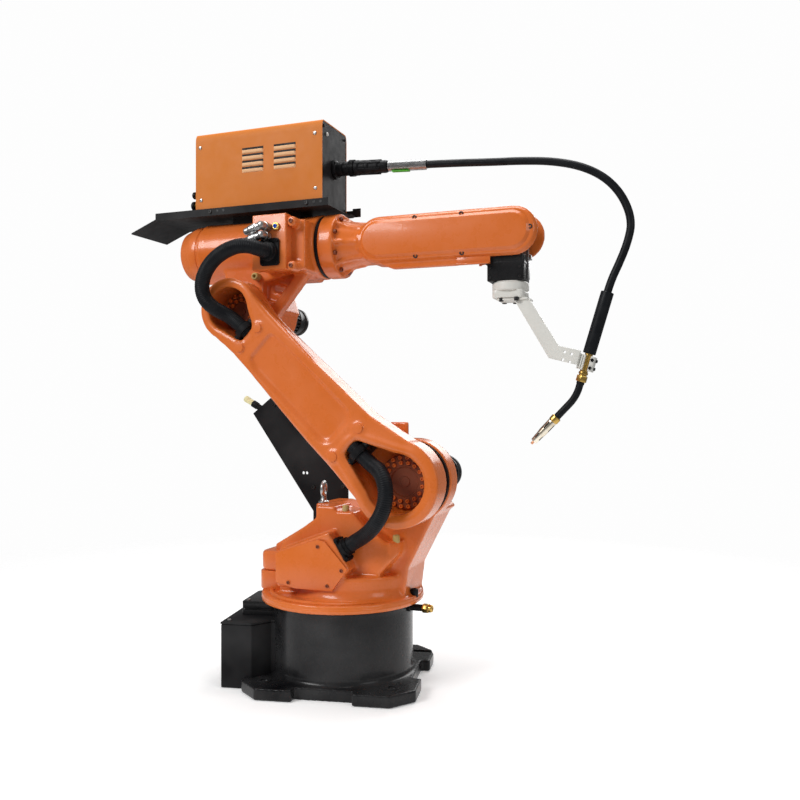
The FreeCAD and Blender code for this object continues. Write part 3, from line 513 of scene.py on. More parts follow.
def lathe(profile: Outline, steps: int = 72, closed: bool = False) -> bmesh.types.BMesh:
    """Turn a profile about Z.

    Args:
        profile: Points of radius and height, in order.
        steps: Segments round the axis.
        closed: Whether the last point joins the first, as in a ring.

    Returns:
        The turned shape.
    """
    part = bmesh.new()
    verts = [part.verts.new((radius, 0.0, height)) for radius, height in profile]
    ends = verts[1:] + verts[:1] if closed else verts[1:]
    edges = [part.edges.new(pair) for pair in zip(verts, ends)]
    bmesh.ops.spin(part, geom=verts + edges, cent=(0, 0, 0), axis=(0, 0, 1), angle=2 * math.pi,
                   steps=steps, use_merge=True)
    bmesh.ops.remove_doubles(part, verts=part.verts, dist=MERGE)
    bmesh.ops.recalc_face_normals(part, faces=part.faces)
    return part


def hoop(radius: float, thickness: float, steps: int = 48, sides: int = 16) -> bmesh.types.BMesh:
    """A round ring about Z whose wire has this thickness.

    Args:
        radius: Radius to the middle of the wire.
        thickness: Diameter of the wire.
        steps: Segments round the ring.
        sides: Segments round the wire.

    Returns:
        The ring.
    """
    wire = [(radius + thickness / 2 * math.cos(2 * math.pi * k / sides),
             thickness / 2 * math.sin(2 * math.pi * k / sides)) for k in range(sides)]
    return lathe(wire, steps, closed=True)


def socket_screw(radius: float, height: float, steps: int = 12) -> bmesh.types.BMesh:
    """Head of a socket screw that stands on z = 0.

    Args:
        radius: Radius of the head.
        height: Height of the head.
        steps: Segments round it.

    Returns:
        The head.
    """
    lip = radius * 0.15
    return lathe([(0, 0), (radius, 0), (radius, height - lip), (radius - lip, height), (radius * 0.55, height),
                  (radius * 0.5, height * 0.45), (0, height * 0.45)], steps)


def hexagon(across: float, depth: float) -> bmesh.types.BMesh:
    """A hexagonal bar from z = 0 up to depth, with slightly broken edges."""
    return rounded(disc(across / math.sqrt(3), depth, steps=6), across * 0.04, 2)


class Shape:
    """A mesh under construction, built of several shapes in one frame."""

    def __init__(self, place: Matrix | None = None) -> None:
        """Start empty; place is the frame that the shapes are given in."""
        self.place = place or Matrix.Identity(4)
        self.mesh = bmesh.new()

    def add(self, part: bmesh.types.BMesh, at: Point = (0, 0, 0), axis: Axis | Matrix = Axis.UP,
            edge: float = 0.0) -> "Shape":
        """Lay a shape in place and join it.

        Args:
            part: The shape; it is used up.
            at: Where its origin goes.
            axis: How it is turned.
            edge: Width of the rounding of its sharp edges.

        Returns:
            This shape, for the next call.
        """
        rounded(part, edge)
        turn = axis.value if isinstance(axis, Axis) else axis
        bmesh.ops.transform(part, matrix=self.place @ Matrix.Translation(at) @ turn, verts=part.verts)
        data = bpy.data.meshes.new("part")
        part.to_mesh(data)
        part.free()
        self.mesh.from_mesh(data)
        bpy.data.meshes.remove(data)
        return self

    def add_many(self, make: Callable[[], bmesh.types.BMesh], spots: Iterable[Point],
                 axis: Axis | Matrix = Axis.UP) -> "Shape":
        """Lay a new copy of what make() gives at each spot.

        Args:
            make: Makes one copy.
            spots: Where the copies go.
            axis: How they are turned.

        Returns:
            This shape, for the next call.
        """
        for spot in spots:
            self.add(make(), spot, axis)
        return self

    def loose_object(self, name: str) -> bpy.types.Object:
        """Turn the mesh into an object that is linked but rides on nothing yet.

        Args:
            name: Name of the object.

        Returns:
            The object.
        """
        data = bpy.data.meshes.new(name)
        self.mesh.to_mesh(data)
        self.mesh.free()
        made = bpy.data.objects.new(name, data)
        bpy.context.scene.collection.objects.link(made)
        return made

    def publish(self, name: str, body: Body, finish: Finish, replaces: Sequence[str] = ()) -> bpy.types.Object:
        """Make the finished piece.

        Args:
            name: Name of the piece.
            body: Body that it rides on.
            finish: Its finish.
            replaces: CAD nodes that it stands for.

        Returns:
            The piece.
        """
        made = self.loose_object(name)
        made.data.transform(Matrix.Scale(MM, 4))
        dress(made, finish)
        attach(made, body.value)
        if replaces:
            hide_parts(*replaces)
        LOG.info("%s: %d faces on %s", name, len(made.data.polygons), body.value)
        return made


def dress(made: bpy.types.Object, finish: Finish) -> None:
    """Give a piece its finish's material and smooth shading.

    Args:
        made: The piece.
        finish: Its finish.
    """
    made.data.materials.clear()
    made.data.materials.append(finish.material())
    made.data.shade_smooth()
    made.data.set_sharp_from_angle(angle=SHARP)


def baked(made: bpy.types.Object, name: str) -> bpy.types.Mesh:
    """The object's mesh with its modifiers applied; the object is removed.

    Args:
        made: The object.
        name: Name for the mesh.

    Returns:
        The mesh.
    """
    bpy.context.view_layer.update()
    graph = bpy.context.evaluated_depsgraph_get()
    data = bpy.data.meshes.new_from_object(made.evaluated_get(graph))
    data.name = name
    old = made.data
    bpy.data.objects.remove(made)
    bpy.data.meshes.remove(old)
    return data


def carved(body: Shape, tools: Shape, name: str) -> Shape:
    """Cut shapes out of another.

    Args:
        body: The shape that is cut; it is used up.
        tools: What is cut away; it is used up.
        name: Name for the scratch meshes.

    Returns:
        The shape that is left.
    """
    made, cutter = body.loose_object(name), tools.loose_object(name + "_tools")
    cut = made.modifiers.new("cut", "BOOLEAN")
    cut.operation, cut.object, cut.solver, cut.use_self = "DIFFERENCE", cutter, "EXACT", True
    data = baked(made, name)
    bpy.data.objects.remove(cutter)
    left = Shape()
    left.mesh.from_mesh(data)
    bpy.data.meshes.remove(data)
    return left


def mark_edges(data: bpy.types.Mesh) -> None:
    """Store how strongly each point of a mesh stands out, from 0 on flats to 1 on convex edges.

    Args:
        data: The mesh, in millimetres.
    """
    count = len(data.vertices)
    points = np.empty(count * 3, np.float32)
    normals = np.empty(count * 3, np.float32)
    pairs = np.empty(len(data.edges) * 2, np.int32)
    data.vertices.foreach_get("co", points)
    data.vertices.foreach_get("normal", normals)
    data.edges.foreach_get("vertices", pairs)
    points, normals, pairs = points.reshape(-1, 3), normals.reshape(-1, 3), pairs.reshape(-1, 2)
    first, second = pairs[:, 0], pairs[:, 1]
    step = points[second] - points[first]
    bend = ((normals[second] - normals[first]) * step).sum(1) / np.maximum((step * step).sum(1), 1e-12)
    total, hits = np.zeros(count), np.zeros(count)
    for ends in (first, second):
        np.add.at(total, ends, bend)
        np.add.at(hits, ends, 1)
    sharpness = np.clip(total / np.maximum(hits, 1) * EDGE_RADIUS, 0, 1)
    stored = data.attributes.new("edge", "FLOAT", "POINT")
    stored.data.foreach_set("value", sharpness.astype(np.float32))


@dataclass
class Casting:
    """A cast piece: the CAD shape with more added and cut away, then softened as castings are."""

    node: str
    voxel: float = 3.2
    softening: int = 5
    place: Matrix | None = None

    def blank(self) -> Shape:
        """The CAD node's shape, merged into one skin, in the casting's own frame.

        Returns:
            The shape, in millimetres.
        """
        blank = Shape()
        blank.mesh.from_mesh(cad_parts[self.node].data)
        bmesh.ops.scale(blank.mesh, verts=blank.mesh.verts, vec=(1 / MM, 1 / MM, 1 / MM))
        bmesh.ops.remove_doubles(blank.mesh, verts=blank.mesh.verts, dist=MERGE * 10)
        if self.place:
            bmesh.ops.transform(blank.mesh, matrix=self.place.inverted(), verts=blank.mesh.verts)
        return blank

    def cast(self, added: Shape | None, removed: Shape | None, name: str, body: Body,
             finish: Finish) -> bpy.types.Object:
        """Make the piece.

        Args:
            added: Shapes that are part of the casting, in its own frame.
            removed: Shapes that are cut away.
            name: Name of the piece.
            body: Body that it rides on.
            finish: Its finish.

        Returns:
            The piece, which stands for the CAD node.
        """
        blank = self.blank()
        if added is not None:
            extra = bpy.data.meshes.new("extra")
            added.mesh.to_mesh(extra)
            blank.mesh.from_mesh(extra)
            bpy.data.meshes.remove(extra)
        made = blank.loose_object(name)
        self._remesh(made, self.voxel)
        cutter = None
        if removed is not None:
            cutter = removed.loose_object(name + "_tools")
            self._remesh(cutter, self.voxel)
            cut = made.modifiers.new("cut", "BOOLEAN")
            cut.operation, cut.object, cut.solver = "DIFFERENCE", cutter, "EXACT"
            self._remesh(made, self.voxel)
        soft = made.modifiers.new("soft", "SMOOTH")
        soft.factor, soft.iterations = 0.5, self.softening
        data = baked(made, name)
        if cutter is not None:
            bpy.data.objects.remove(cutter)
        if self.place:
            data.transform(self.place)
        mark_edges(data)
        data.transform(Matrix.Scale(MM, 4))
        done = bpy.data.objects.new(name, data)
        bpy.context.scene.collection.objects.link(done)
        dress(done, finish)
        data.shade_smooth()
        for attribute in [a for a in data.attributes if a.name == "sharp_edge"]:
            data.attributes.remove(attribute)
        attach(done, body.value)
        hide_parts(self.node)
        LOG.info("%s: %d faces on %s", name, len(data.polygons), body.value)
        return done

    @staticmethod
    def _remesh(made: bpy.types.Object, voxel: float) -> None:
        """Give an object an even skin of small squares."""
        skin = made.modifiers.new("skin", "REMESH")
        skin.mode, skin.voxel_size = "VOXEL", voxel


def ring_of(count: int, radius: float, start: float = 0.0) -> list[tuple[float, float]]:
    """Points evenly round a circle; start is the first one's angle in degrees."""
    angles = [math.radians(start + 360 * k / count) for k in range(count)]
    return [(radius * math.cos(a), radius * math.sin(a)) for a in angles]


# ------------------------------------------------------------------ cords

def route_line(points: Sequence[Point], name: str) -> list[Vector]:
    """The smooth line of a cord, read from a NURBS spline with these control points.

    Args:
        points: Control points in metres.
        name: Name for the scratch curve.

    Returns:
        Points of the line, in metres.
    """
    curve = bpy.data.curves.new(name, "CURVE")
    curve.dimensions = "3D"
    curve.resolution_u = ROUTE_STEPS
    spline = curve.splines.new("NURBS")
    spline.points.add(len(points) - 1)
    for knot, point in zip(spline.points, points):
        knot.co = (*point, 1.0)
    spline.order_u = 3
    spline.use_endpoint_u = True
    holder = bpy.data.objects.new(name, curve)
    bpy.context.scene.collection.objects.link(holder)
    bpy.context.view_layer.update()
    graph = bpy.context.evaluated_depsgraph_get()
    data = bpy.data.meshes.new_from_object(holder.evaluated_get(graph))
    line = [v.co.copy() for v in data.vertices]
    bpy.data.objects.remove(holder)
    bpy.data.curves.remove(curve)
    bpy.data.meshes.remove(data)
    return line


def walked(line: Sequence[Vector], step: float) -> list[Vector]:
    """The same line with points an even step apart, its ends kept.

    Args:
        line: The line.
        step: Distance between points.

    Returns:
        The new points.
    """
    lengths = np.array([0.0, *np.cumsum([(b - a).length for a, b in zip(line, line[1:])])])
    count = max(2, round(lengths[-1] / step))
    goals = np.linspace(0.0, lengths[-1], count + 1)
    table = np.array(line)
    return [Vector(p) for p in np.stack([np.interp(goals, lengths, table[:, k]) for k in range(3)], 1)]


def length_of(line: Sequence[Vector]) -> float:
    """Length of a line in metres."""
    return sum((b - a).length for a, b in zip(line, line[1:]))


def tube(line: Sequence[Vector], radii: Sequence[float], sides: int = 28) -> bmesh.types.BMesh:
    """A tube along a line.

    Args:
        line: Points of its centreline.
        radii: Its radius at each of them.
        sides: Segments round it.

    Returns:
        The closed tube.
    """
    part = bmesh.new()
    ring = bmesh.ops.create_circle(part, cap_ends=False, segments=sides, radius=1.0)["verts"]
    rim = list(part.edges)
    heading = (line[1] - line[0]).normalized()
    turn = heading.to_track_quat("Z", "Y")
    last = Matrix.Identity(4)
    for index, (point, radius) in enumerate(zip(line, radii)):
        if index:
            grown = bmesh.ops.extrude_edge_only(part, edges=rim)["geom"]
            ring = [g for g in grown if isinstance(g, bmesh.types.BMVert)]
            known = set(ring)
            rim = [g for g in grown if isinstance(g, bmesh.types.BMEdge) and set(g.verts) <= known]
            after = (line[min(index + 1, len(line) - 1)] - line[index - 1]).normalized()
            heading, turn = after, heading.rotation_difference(after) @ turn
        place = Matrix.Translation(point) @ turn.to_matrix().to_4x4() @ Matrix.Scale(radius, 4)
        bmesh.ops.transform(part, matrix=place @ last.inverted(), verts=ring)
        last = place
    bmesh.ops.holes_fill(part, edges=[e for e in part.edges if e.is_boundary], sides=0)
    bmesh.ops.recalc_face_normals(part, faces=part.faces)
    return part


def arc(centre: tuple[float, float], radius: float, start: float, end: float,
        steps: int = 10) -> list[tuple[float, float]]:
    """Points along a circular arc, from one angle to another in degrees.

    Args:
        centre: Centre of the arc.
        radius: Its radius.
        start: Angle of the first point.
        end: Angle of the last point.
        steps: Segments along it.

    Returns:
        The points, in order.
    """
    angles = np.linspace(math.radians(start), math.radians(end), steps + 1)
    return [(centre[0] + radius * math.cos(a), centre[1] + radius * math.sin(a)) for a in angles]


def capsule(start: float, end: float, middle: float, radius: float) -> list[tuple[float, float]]:
    """Outline of a long plate with two round ends."""
    return arc((end, middle), radius, -90, 90, 24) + arc((start, middle), radius, 90, 270, 24)


def pad(left: float, right: float, low: float, high: float, corner: float) -> list[tuple[float, float]]:
    """Outline of a rectangle with rounded corners."""
    return [*arc((right - corner, low + corner), corner, -90, 0, 8),
            *arc((right - corner, high - corner), corner, 0, 90, 8),
            *arc((left + corner, high - corner), corner, 90, 180, 8),
            *arc((left + corner, low + corner), corner, 180, 270, 8)]


def tapered(outline: Outline, top: Outline, side: float, depth: float) -> bmesh.types.BMesh:
    """A plate whose rim slopes in to a smaller top outline with as many points.

    Args:
        outline: Outline of its foot.
        top: Outline of its face.
        side: Height of the upright part of its side.
        depth: Height of its face.

    Returns:
        The plate, standing on z = 0.
    """
    part = plate(outline, side)
    lid = next(f for f in part.faces if all(abs(v.co.z - side) < MERGE for v in f.verts))
    grown = bmesh.ops.extrude_face_region(part, geom=[lid])["geom"]
    bmesh.ops.delete(part, geom=[lid], context="FACES_ONLY")
    for vert in (g for g in grown if isinstance(g, bmesh.types.BMVert)):
        index = min(range(len(outline)), key=lambda k: math.dist(outline[k], vert.co.xy))
        vert.co = (*top[index], depth)
    bmesh.ops.recalc_face_normals(part, faces=part.faces)
    return part


def ribbed(radius: float, depth: float, count: int, rib: float) -> bmesh.types.BMesh:
    """A cylinder with ribs along it, from z = 0 up to depth.

    Args:
        radius: Radius over the ribs.
        depth: Height.
        count: How many ribs.
        rib: Height of a rib.

    Returns:
        The shape.
    """
    outline = []
    for k in range(count):
        for share, height in ((0.0, 0.0), (0.3, 0.0), (0.42, rib), (0.88, rib)):
            angle = 2 * math.pi * (k + share) / count
            outline.append(((radius - rib + height) * math.cos(angle),
                            (radius - rib + height) * math.sin(angle)))
    return plate(outline, depth)


def coil(radius: float, wire: float, length: float, turns: int) -> bmesh.types.BMesh:
    """A close-wound coil along Z.

    Args:
        radius: Outer radius.
        wire: Thickness of the wire.
        length: Length of the coil.
        turns: Turns of the wire.

    Returns:
        The coil.
    """
    part = bmesh.new()
    ring = bmesh.ops.create_circle(part, cap_ends=True, segments=8, radius=wire / 2)["verts"]
    bmesh.ops.rotate(part, verts=ring, cent=(0, 0, 0), matrix=Matrix.Rotation(math.pi / 2, 3, "X"))
    bmesh.ops.translate(part, verts=ring, vec=(radius - wire / 2, 0, wire / 2))
    steps = turns * 20
    bmesh.ops.spin(part, geom=list(part.faces), cent=(0, 0, 0), axis=(0, 0, 1), angle=2 * math.pi * turns,
                   steps=steps, dvec=(0, 0, (length - wire) / steps))
    bmesh.ops.recalc_face_normals(part, faces=part.faces)
    return part


def gland(radius: float, height: float) -> bmesh.types.BMesh:
    """Collar of a hose gland: a lock ring with a ribbed, tapering sleeve above it.

    Args:
        radius: Radius of the hose.
        height: Height of the collar.

    Returns:
        The collar.
    """
    profile = [(0, 0), (radius + 5, 0), (radius + 5, height * 0.42), (radius + 3.5, height * 0.5)]
    for k in range(3):
        level = height * (0.52 + 0.16 * k)
        profile += [(radius + 2.2, level), (radius + 2.2, level + height * 0.07),
                    (radius + 3.2, level + height * 0.09), (radius + 3.2, level + height * 0.14)]
    return lathe(profile + [(radius + 1.5, height), (0, height)], 64)


def repaint(node: str, finish: Finish) -> None:
    """Give a carried-over CAD node its finish.

    Args:
        node: The CAD node.
        finish: Its finish.
    """
    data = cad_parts[node].data
    data.materials.clear()
    data.materials.append(finish.material())


# ------------------------------------------------------------------ base

@dataclass
class Base:
    """Foot plate, drum, and the connector housing behind it."""

    drum_radius: float = 171.0
    plate: float = 28.0
    half: float = 205.0
    pad_gap: float = 138.0
    bolt: float = 150.0
    box_top: float = 155.0
    top: float = 188.0

    def __post_init__(self) -> None:
        """Turn the base's own frame as it stands on the floor."""
        self.turn = Matrix.Rotation(BASE_TURN, 4, "Z")

    def build(self) -> None:
        """Build the base's pieces."""
        self.casting()
        self.connector_box()
        self.terminal_block()
        self.stop_fitting()

    def casting(self) -> None:
        """Foot plate with four pads, and the drum that grows out of it with a fillet."""
        r, foot = self.drum_radius, self.plate
        added = Shape(self.turn)
        added.add(lathe([(0, foot - 3), (r + 6, foot - 3), (r + 6, foot + 1), (r + 2, foot + 5), (r, foot + 11),
                         (0, foot + 11)]))
        added.add(disc(r + 1.5, 8), (0, 0, 187))
        removed = Shape(self.turn)
        for k in range(4):
            turn = Matrix.Rotation(k * math.pi / 2, 4, "Z")
            removed.add(block((60, self.pad_gap, 60)), turn @ Vector((self.half + 8, 0, -10)), turn)
        removed.add(block((110, 19, 50)), (self.bolt + 55, self.bolt, -10))
        Casting("base_casting", 3.0, 2).cast(added, removed, "base_body", Body.BASE, BLACK_GLOSS)
        washers = Shape(self.turn)
        washers.add_many(lambda: lathe([(9.5, 0), (16, 0), (16, 2), (15, 3), (9.5, 3)], 40, closed=True),
                         [(x, y, foot - 0.5) for x, y in ((-self.bolt, self.bolt), (-self.bolt, -self.bolt),
                                                          (self.bolt, -self.bolt))])
        washers.publish("base_hole_rims", Body.BASE, BLACK_GLOSS)

    def connector_box(self) -> None:
        """Connector housing: chamfered corners, a lid, and two round connectors on its back."""
        outline = [(-262, -135), (-187, -135), (-152, -95), (-120, -95), (-120, 95), (-152, 95), (-187, 135),
                   (-262, 135)]
        shape = Shape(self.turn)
        shape.add(plate(outline, self.box_top - 7), (0, 0, 1), edge=2.0)
        shape.add(plate([(x * 1.003, y * 1.01) for x, y in outline], 5), (0, 0, self.box_top - 5), edge=1.2)
        shape.add(block((24, 214, 30), 4), (-196, 0, 8), edge=2)
        shape.publish("base_box", Body.BASE, BLACK_SHEET, ["base_connector_box"])
        sockets = Shape(self.turn)
        for y in (-58, 52):
            sockets.add(lathe([(0, 0), (27, 0), (27, 5), (23, 6), (23, 17), (20, 18), (20, 9), (0, 9)]),
                        (-262, y, 84), Axis.BACKWARD, 0.6)
        sockets.publish("base_sockets", Body.BASE, BLACK_PLASTIC)
        screws = Shape(self.turn)
        spots = [(-262, y, z) for y in (-122, 0, 122) for z in (14, 136)]
        screws.add_many(lambda: socket_screw(4.5, 3.5), spots, Axis.BACKWARD)
        spots = [(-248, y, self.box_top) for y in (-118, 118)]
        screws.add_many(lambda: socket_screw(4.5, 3.5), spots)
        screws.publish("base_box_screws", Body.BASE, ZINC)

    def terminal_block(self) -> None:
        """Terminal block with a groove all round and two screws."""
        shape = Shape(self.turn)
        for low, high, shrink in ((self.box_top, 167, 0), (167, 171, 4), (171, self.top, 0)):
            shape.add(block((100 - shrink, 120 - shrink, high - low), 5), (-188 + shrink / 2, 0, low), edge=1.5)
        shape.publish("terminal_body", Body.BASE, BLACK_GLOSS, ["base_terminal_block"])
        screws = Shape(self.turn)
        screws.add_many(lambda: socket_screw(4, 3), [(-226, -46, self.top), (-226, 46, self.top)])
        screws.publish("terminal_screws", Body.BASE, ZINC)

    def stop_fitting(self) -> None:
        """Black stub with a plated hexagon at its end."""
        stub = Shape()
        stub.add(lathe([(0, 0), (11, 0), (11, 10), (8, 12), (8, 42), (0, 42)], 32), (165, 0, 184),
                 Axis.FORWARD, 0.6)
        stub.publish("stop_stub", Body.BASE, BLACK_PLASTIC)
        nut = Shape()
        nut.add(hexagon(20, 15), (207, 0, 184), Axis.FORWARD)
        nut.add(lathe([(0, 0), (9, 0), (9, 6), (7.5, 9), (4, 9), (4, 4), (0, 4)], 32), (222, 0, 184),
                Axis.FORWARD, 0.5)
        nut.publish("stop_nut", Body.BASE, BRASS, ["base_stop_fitting"])


# ------------------------------------------------------------------ turret

@dataclass
class Turret:
    """Everything that turns on the base: flange, web, shoulder hub, cable box, motors and panel."""

    floor: float = 196.3
    drum_x: float = 35.0
    drum_radius: float = 140.0
    flange_top: float = 216.3
    web_near: float = 50.0
    web_far: float = 80.0
    box_near: float = 141.0
    sleeve_bore: float = 61.0
    hub_clear: float = 140.0
    sheet: float = 6.0

    def build(self) -> None:
        """Build the turret's pieces."""
        self.casting()
        self.rim()
        self.cable_cover()
        self.hose_gland()
        self.motor_cover()
        self.lifting_eye()
        self.reducer_ring()
        self.shoulder_motor()
        self.panel()
        self.stops()

    def casting(self) -> None:
        """The turret casting, with fillets where its drum and hub grow out of the web."""
        r = self.drum_radius
        added = Shape()
        added.add(lathe([(0, 0), (r + 17, 0), (r + 12, 3), (r + 5, 9), (r + 1, 20), (0, 20)]),
                  (self.drum_x, 0, self.flange_top - 2))
        added.add(plate([(-108, 318), (-104, 313), (28, 364), (26, 373)], 2.5), (0, -self.box_near, 0),
                  Axis.NEARWARD)
        added.add(plate([(-120, 322), (-120, 334), (-28, 398), (-28, 386)], 30), (0, -66, 0), Axis.NEARWARD)
        removed = Shape()
        removed.add(plate([(126, 268), (216, 350), (222, 341), (178, 288), (176, 272)], 70), (0, -72, 0),
                    Axis.NEARWARD)
        bore, clear, depth = self.sleeve_bore, self.hub_clear, self.web_far + 4
        hub = lathe([(bore, 0), (clear, 0), (clear, depth), (bore, depth)], 96, closed=True)
        bmesh.ops.bisect_plane(hub, geom=hub.verts[:] + hub.edges[:] + hub.faces[:], plane_co=(0, 0, 0),
                               plane_no=(-1, 1, 0), clear_outer=True, dist=MERGE)
        bmesh.ops.holes_fill(hub, edges=[e for e in hub.edges if e.is_boundary], sides=0)
        bmesh.ops.recalc_face_normals(hub, faces=hub.faces)
        removed.add(hub, (SHOULDER_X, 2, SHOULDER_Z), Axis.FARWARD)
        Casting("turret_casting", 3.0, 4).cast(added, removed, "turret_body", Body.TURRET, ORANGE)

    def rim(self) -> None:
        """Rolled rings of the rim flange: an outer lip, a groove and a raised inner ring."""
        profile = (arc((189.5, 204.6), 8.2, -90, 60, 10) + arc((184.5, 214.6), 3.2, 240, 130, 5)
                   + [(181, 218)] + arc((173, 213.5), 7.0, 30, 160, 8) + [(163, 213), (163, self.floor)])
        Shape().add(lathe(profile, 128, closed=True)).publish("turret_rim", Body.TURRET, ORANGE)

    def cable_cover(self) -> None:
        """Cover plate of the cable box and its four screws."""
        outline = [(-106, 251), (-57, 240), (38, 240), (76, 292), (20, 352), (0, 356), (-107, 319)]
        plate_shape = Shape().add(plate(outline, self.sheet - 1), (0, -self.box_near - 1, 0),
                                  Axis.NEARWARD, 1.0)
        plate_shape.publish("cable_cover", Body.TURRET, ORANGE, ["turret_cable_cover"])
        spots = [(x, -self.box_near - self.sheet, z)
                 for x, z in ((2.7, 340), (62, 289), (26.7, 252), (-73, 253))]
        seats = Shape().add_many(lambda: disc(6.5, 0.8, 6.0, 32), spots, Axis.NEARWARD)
        seats.publish("cover_screw_seats", Body.TURRET, ORANGE)
        screws = Shape().add_many(lambda: socket_screw(4.2, 3.2), spots, Axis.NEARWARD)
        # Cover screws in dark orange: painted shade.
        screws.publish("cover_screws", Body.TURRET, SHADE_ORANGE)

    def hose_gland(self) -> None:
        """Square flange and collar of the lower hose."""
        flank = math.atan2(373 - 291, 77 - 26)
        shape = Shape(Matrix.Translation((51.5, -119, 332)) @ Matrix.Rotation(flank, 4, "Y"))
        shape.add(block((60, 40, 6), 7), edge=1.2)
        shape.add(gland(HOSE_BORE, 16), (0, 0, 6))
        shape.add_many(lambda: socket_screw(3.6, 3.4), [(x, y, 6) for x in (-24, 24) for y in (-14, 14)])
        shape.publish("lower_gland", Body.TURRET, BLACK_PLASTIC, ["turret_hose_gland"])

    def motor_cover(self) -> None:
        """Round-topped cover of the first motor, in two halves that meet at a step."""
        shape = Shape()
        shape.add(block((74, 132, 45), 26), (-159, -10, self.flange_top - 1), edge=3)
        shape.add(block((70, 128, 48), 25), (-157, -10, self.flange_top + 44), edge=9)
        shape.publish("motor_shroud", Body.TURRET, ORANGE, ["turret_motor_cover"])
        spots = [(-196, y, self.flange_top + 33) for y in (-45, 25)]
        Shape().add_many(lambda: socket_screw(4, 3), spots, Axis.BACKWARD).publish(
            "motor_shroud_screws", Body.TURRET, ZINC)

    def lifting_eye(self) -> None:
        """Forged lifting eye on its collar."""
        x, y, foot = -38, -30, 427
        shape = Shape()
        shape.add(lathe([(0, 0), (13, 0), (13, 3.5), (9, 6), (7, 12), (6.5, 22), (0, 22)], 40), (x, y, foot),
                  edge=0.8)
        shape.add(hoop(15, 11), (x, y, foot + 34),
                  Matrix.Rotation(math.radians(102), 4, "Z") @ Axis.NEARWARD.value)
        shape.publish("eye_bolt", Body.TURRET, ZINC, ["lifting_eye"])

    def reducer_ring(self) -> None:
        """Black ring between the hub and the lower arm."""
        profile = [(0, 0), (93, 0), (93, 3), (91, 4), (91, 6), (93, 7), (93, 9.6), (0, 9.6)]
        Shape().add(lathe(profile, 96), (SHOULDER_X, -self.web_near, SHOULDER_Z), Axis.NEARWARD).publish(
            "reducer_seal", Body.TURRET, BLACK_RUBBER, ["shoulder_reducer_ring"])

    def shoulder_motor(self) -> None:
        """Ribbed motor on the far side of the hub."""
        Motor(SHOULDER_X, SHOULDER_Z, self.web_far, 52, 118).build("shoulder_motor", Body.TURRET)
        sleeve = Shape().add(ribbed(71, self.web_far - 6, 44, 3.6), (SHOULDER_X - 2, 5, SHOULDER_Z + 9),
                             Axis.FARWARD)
        sleeve.publish("shoulder_motor_sleeve", Body.TURRET, BLACK_PLASTIC)

    def panel(self) -> None:
        """Rear sheet panel with its screws, and the pale plug at its top corner."""
        repaint("rear_panel", BLACK_SHEET)
        spots = [(-112, self.web_far, 352), (-36, self.web_far, 352), (-36, self.web_far, 456),
                 (-236, self.web_far, 664), (-120, self.web_far, 452)]
        Shape().add_many(lambda: socket_screw(5, 3.5), spots, Axis.NEARWARD).publish(
            "panel_screws", Body.TURRET, SCREW_BLACK)
        start = self.web_far + 4
        elbow = Shape().add(lathe([(0, 0), (10, 0), (10, 5), (9, 6), (9, 18), (7.5, 20), (0, 20)], 40),
                            (-276, start, 652), Axis.FARWARD, 0.5)
        lie = Matrix.Rotation(math.radians(-60), 4, "Y")
        elbow.add(lathe([(0, 0), (8, 0), (8, 22), (9.4, 23), (9.4, 38), (8, 39), (0, 39)], 40),
                  (-274, start + 10, 650), lie, 0.4)
        elbow.publish("plug_elbow", Body.TURRET, BLACK_PLASTIC)
        plug = Shape().add(lathe([(0, 0), (8, 0), (8, 16), (8.8, 17), (8.8, 25), (7, 28), (0, 28)], 40),
                           (-307, start + 10, 669), lie, 0.4)
        plug.publish("pale_plug_end", Body.TURRET, PALE, ["panel_plug"])

    def stops(self) -> None:
        """Rubber stops of the lower arm and the round bumper on the flange."""
        profile = [(0, 0), (8, 0), (8.4, 3), (8.2, 14), (7, 17.4), (4, 18), (3.4, 15), (0, 15)]
        shape = Shape().add(lathe(profile, 40), (44, -82, 412), edge=0.5)
        shape.add(lathe(profile, 40), (165, -68, 347), edge=0.5)
        shape.publish("arm_stops", Body.TURRET, OCHRE_RUBBER, ["stop_bumpers"])
        bumper = lathe([(0, -8), (10, -8), (10, 8), (8, 11), (5, 12), (4, 9), (0, 9)], 40)
        Shape().add(bumper, (self.drum_x + self.drum_radius + 13, -10, self.flange_top + 3), edge=0.6).publish(
            "flange_bumper", Body.TURRET, BLACK_RUBBER)


@dataclass
class Motor:
    """A ribbed servo motor that points away from the near side."""

    x: float
    z: float
    start: float
    radius: float
    length: float

    def build(self, node: str, body: Body) -> None:
        """Build the motor in place of a CAD node.

        Args:
            node: The CAD node.
            body: Body that it rides on.
        """
        r = self.radius
        shape = Shape(Matrix.Translation((self.x, self.start, self.z)) @ Axis.FARWARD.value)
        shape.add(lathe([(0, 0), (r + 14, 0), (r + 14, 12), (0, 12)], 96), edge=1.2)
        waist, cap = self.length * 0.62, self.length + 4
        shape.add(ribbed(r, waist - 12, 28, 3.4), (0, 0, 12))
        shape.add(lathe([(0, waist), (r + 1, waist), (r + 1, waist + 5), (r - 9, waist + 12), (r - 9, cap - 2),
                         (r - 6, cap), (r - 7, cap + 12), (r - 14, cap + 20), (0, cap + 20)], 96), edge=0.8)
        shape.publish(node + "_body", body, BLACK_GLOSS, [node])
        bolts = Shape(shape.place)
        bolts.add_many(lambda: socket_screw(4.5, 5), [(x, y, 12) for x, y in ring_of(8, r + 8, 22.5)])
        bolts.add_many(lambda: socket_screw(3.4, 4), [(x, y, waist + 4) for x, y in ring_of(6, r - 4, 15)])
        bolts.publish(node + "_bolts", body, ZINC)


# ------------------------------------------------------------------ lower arm

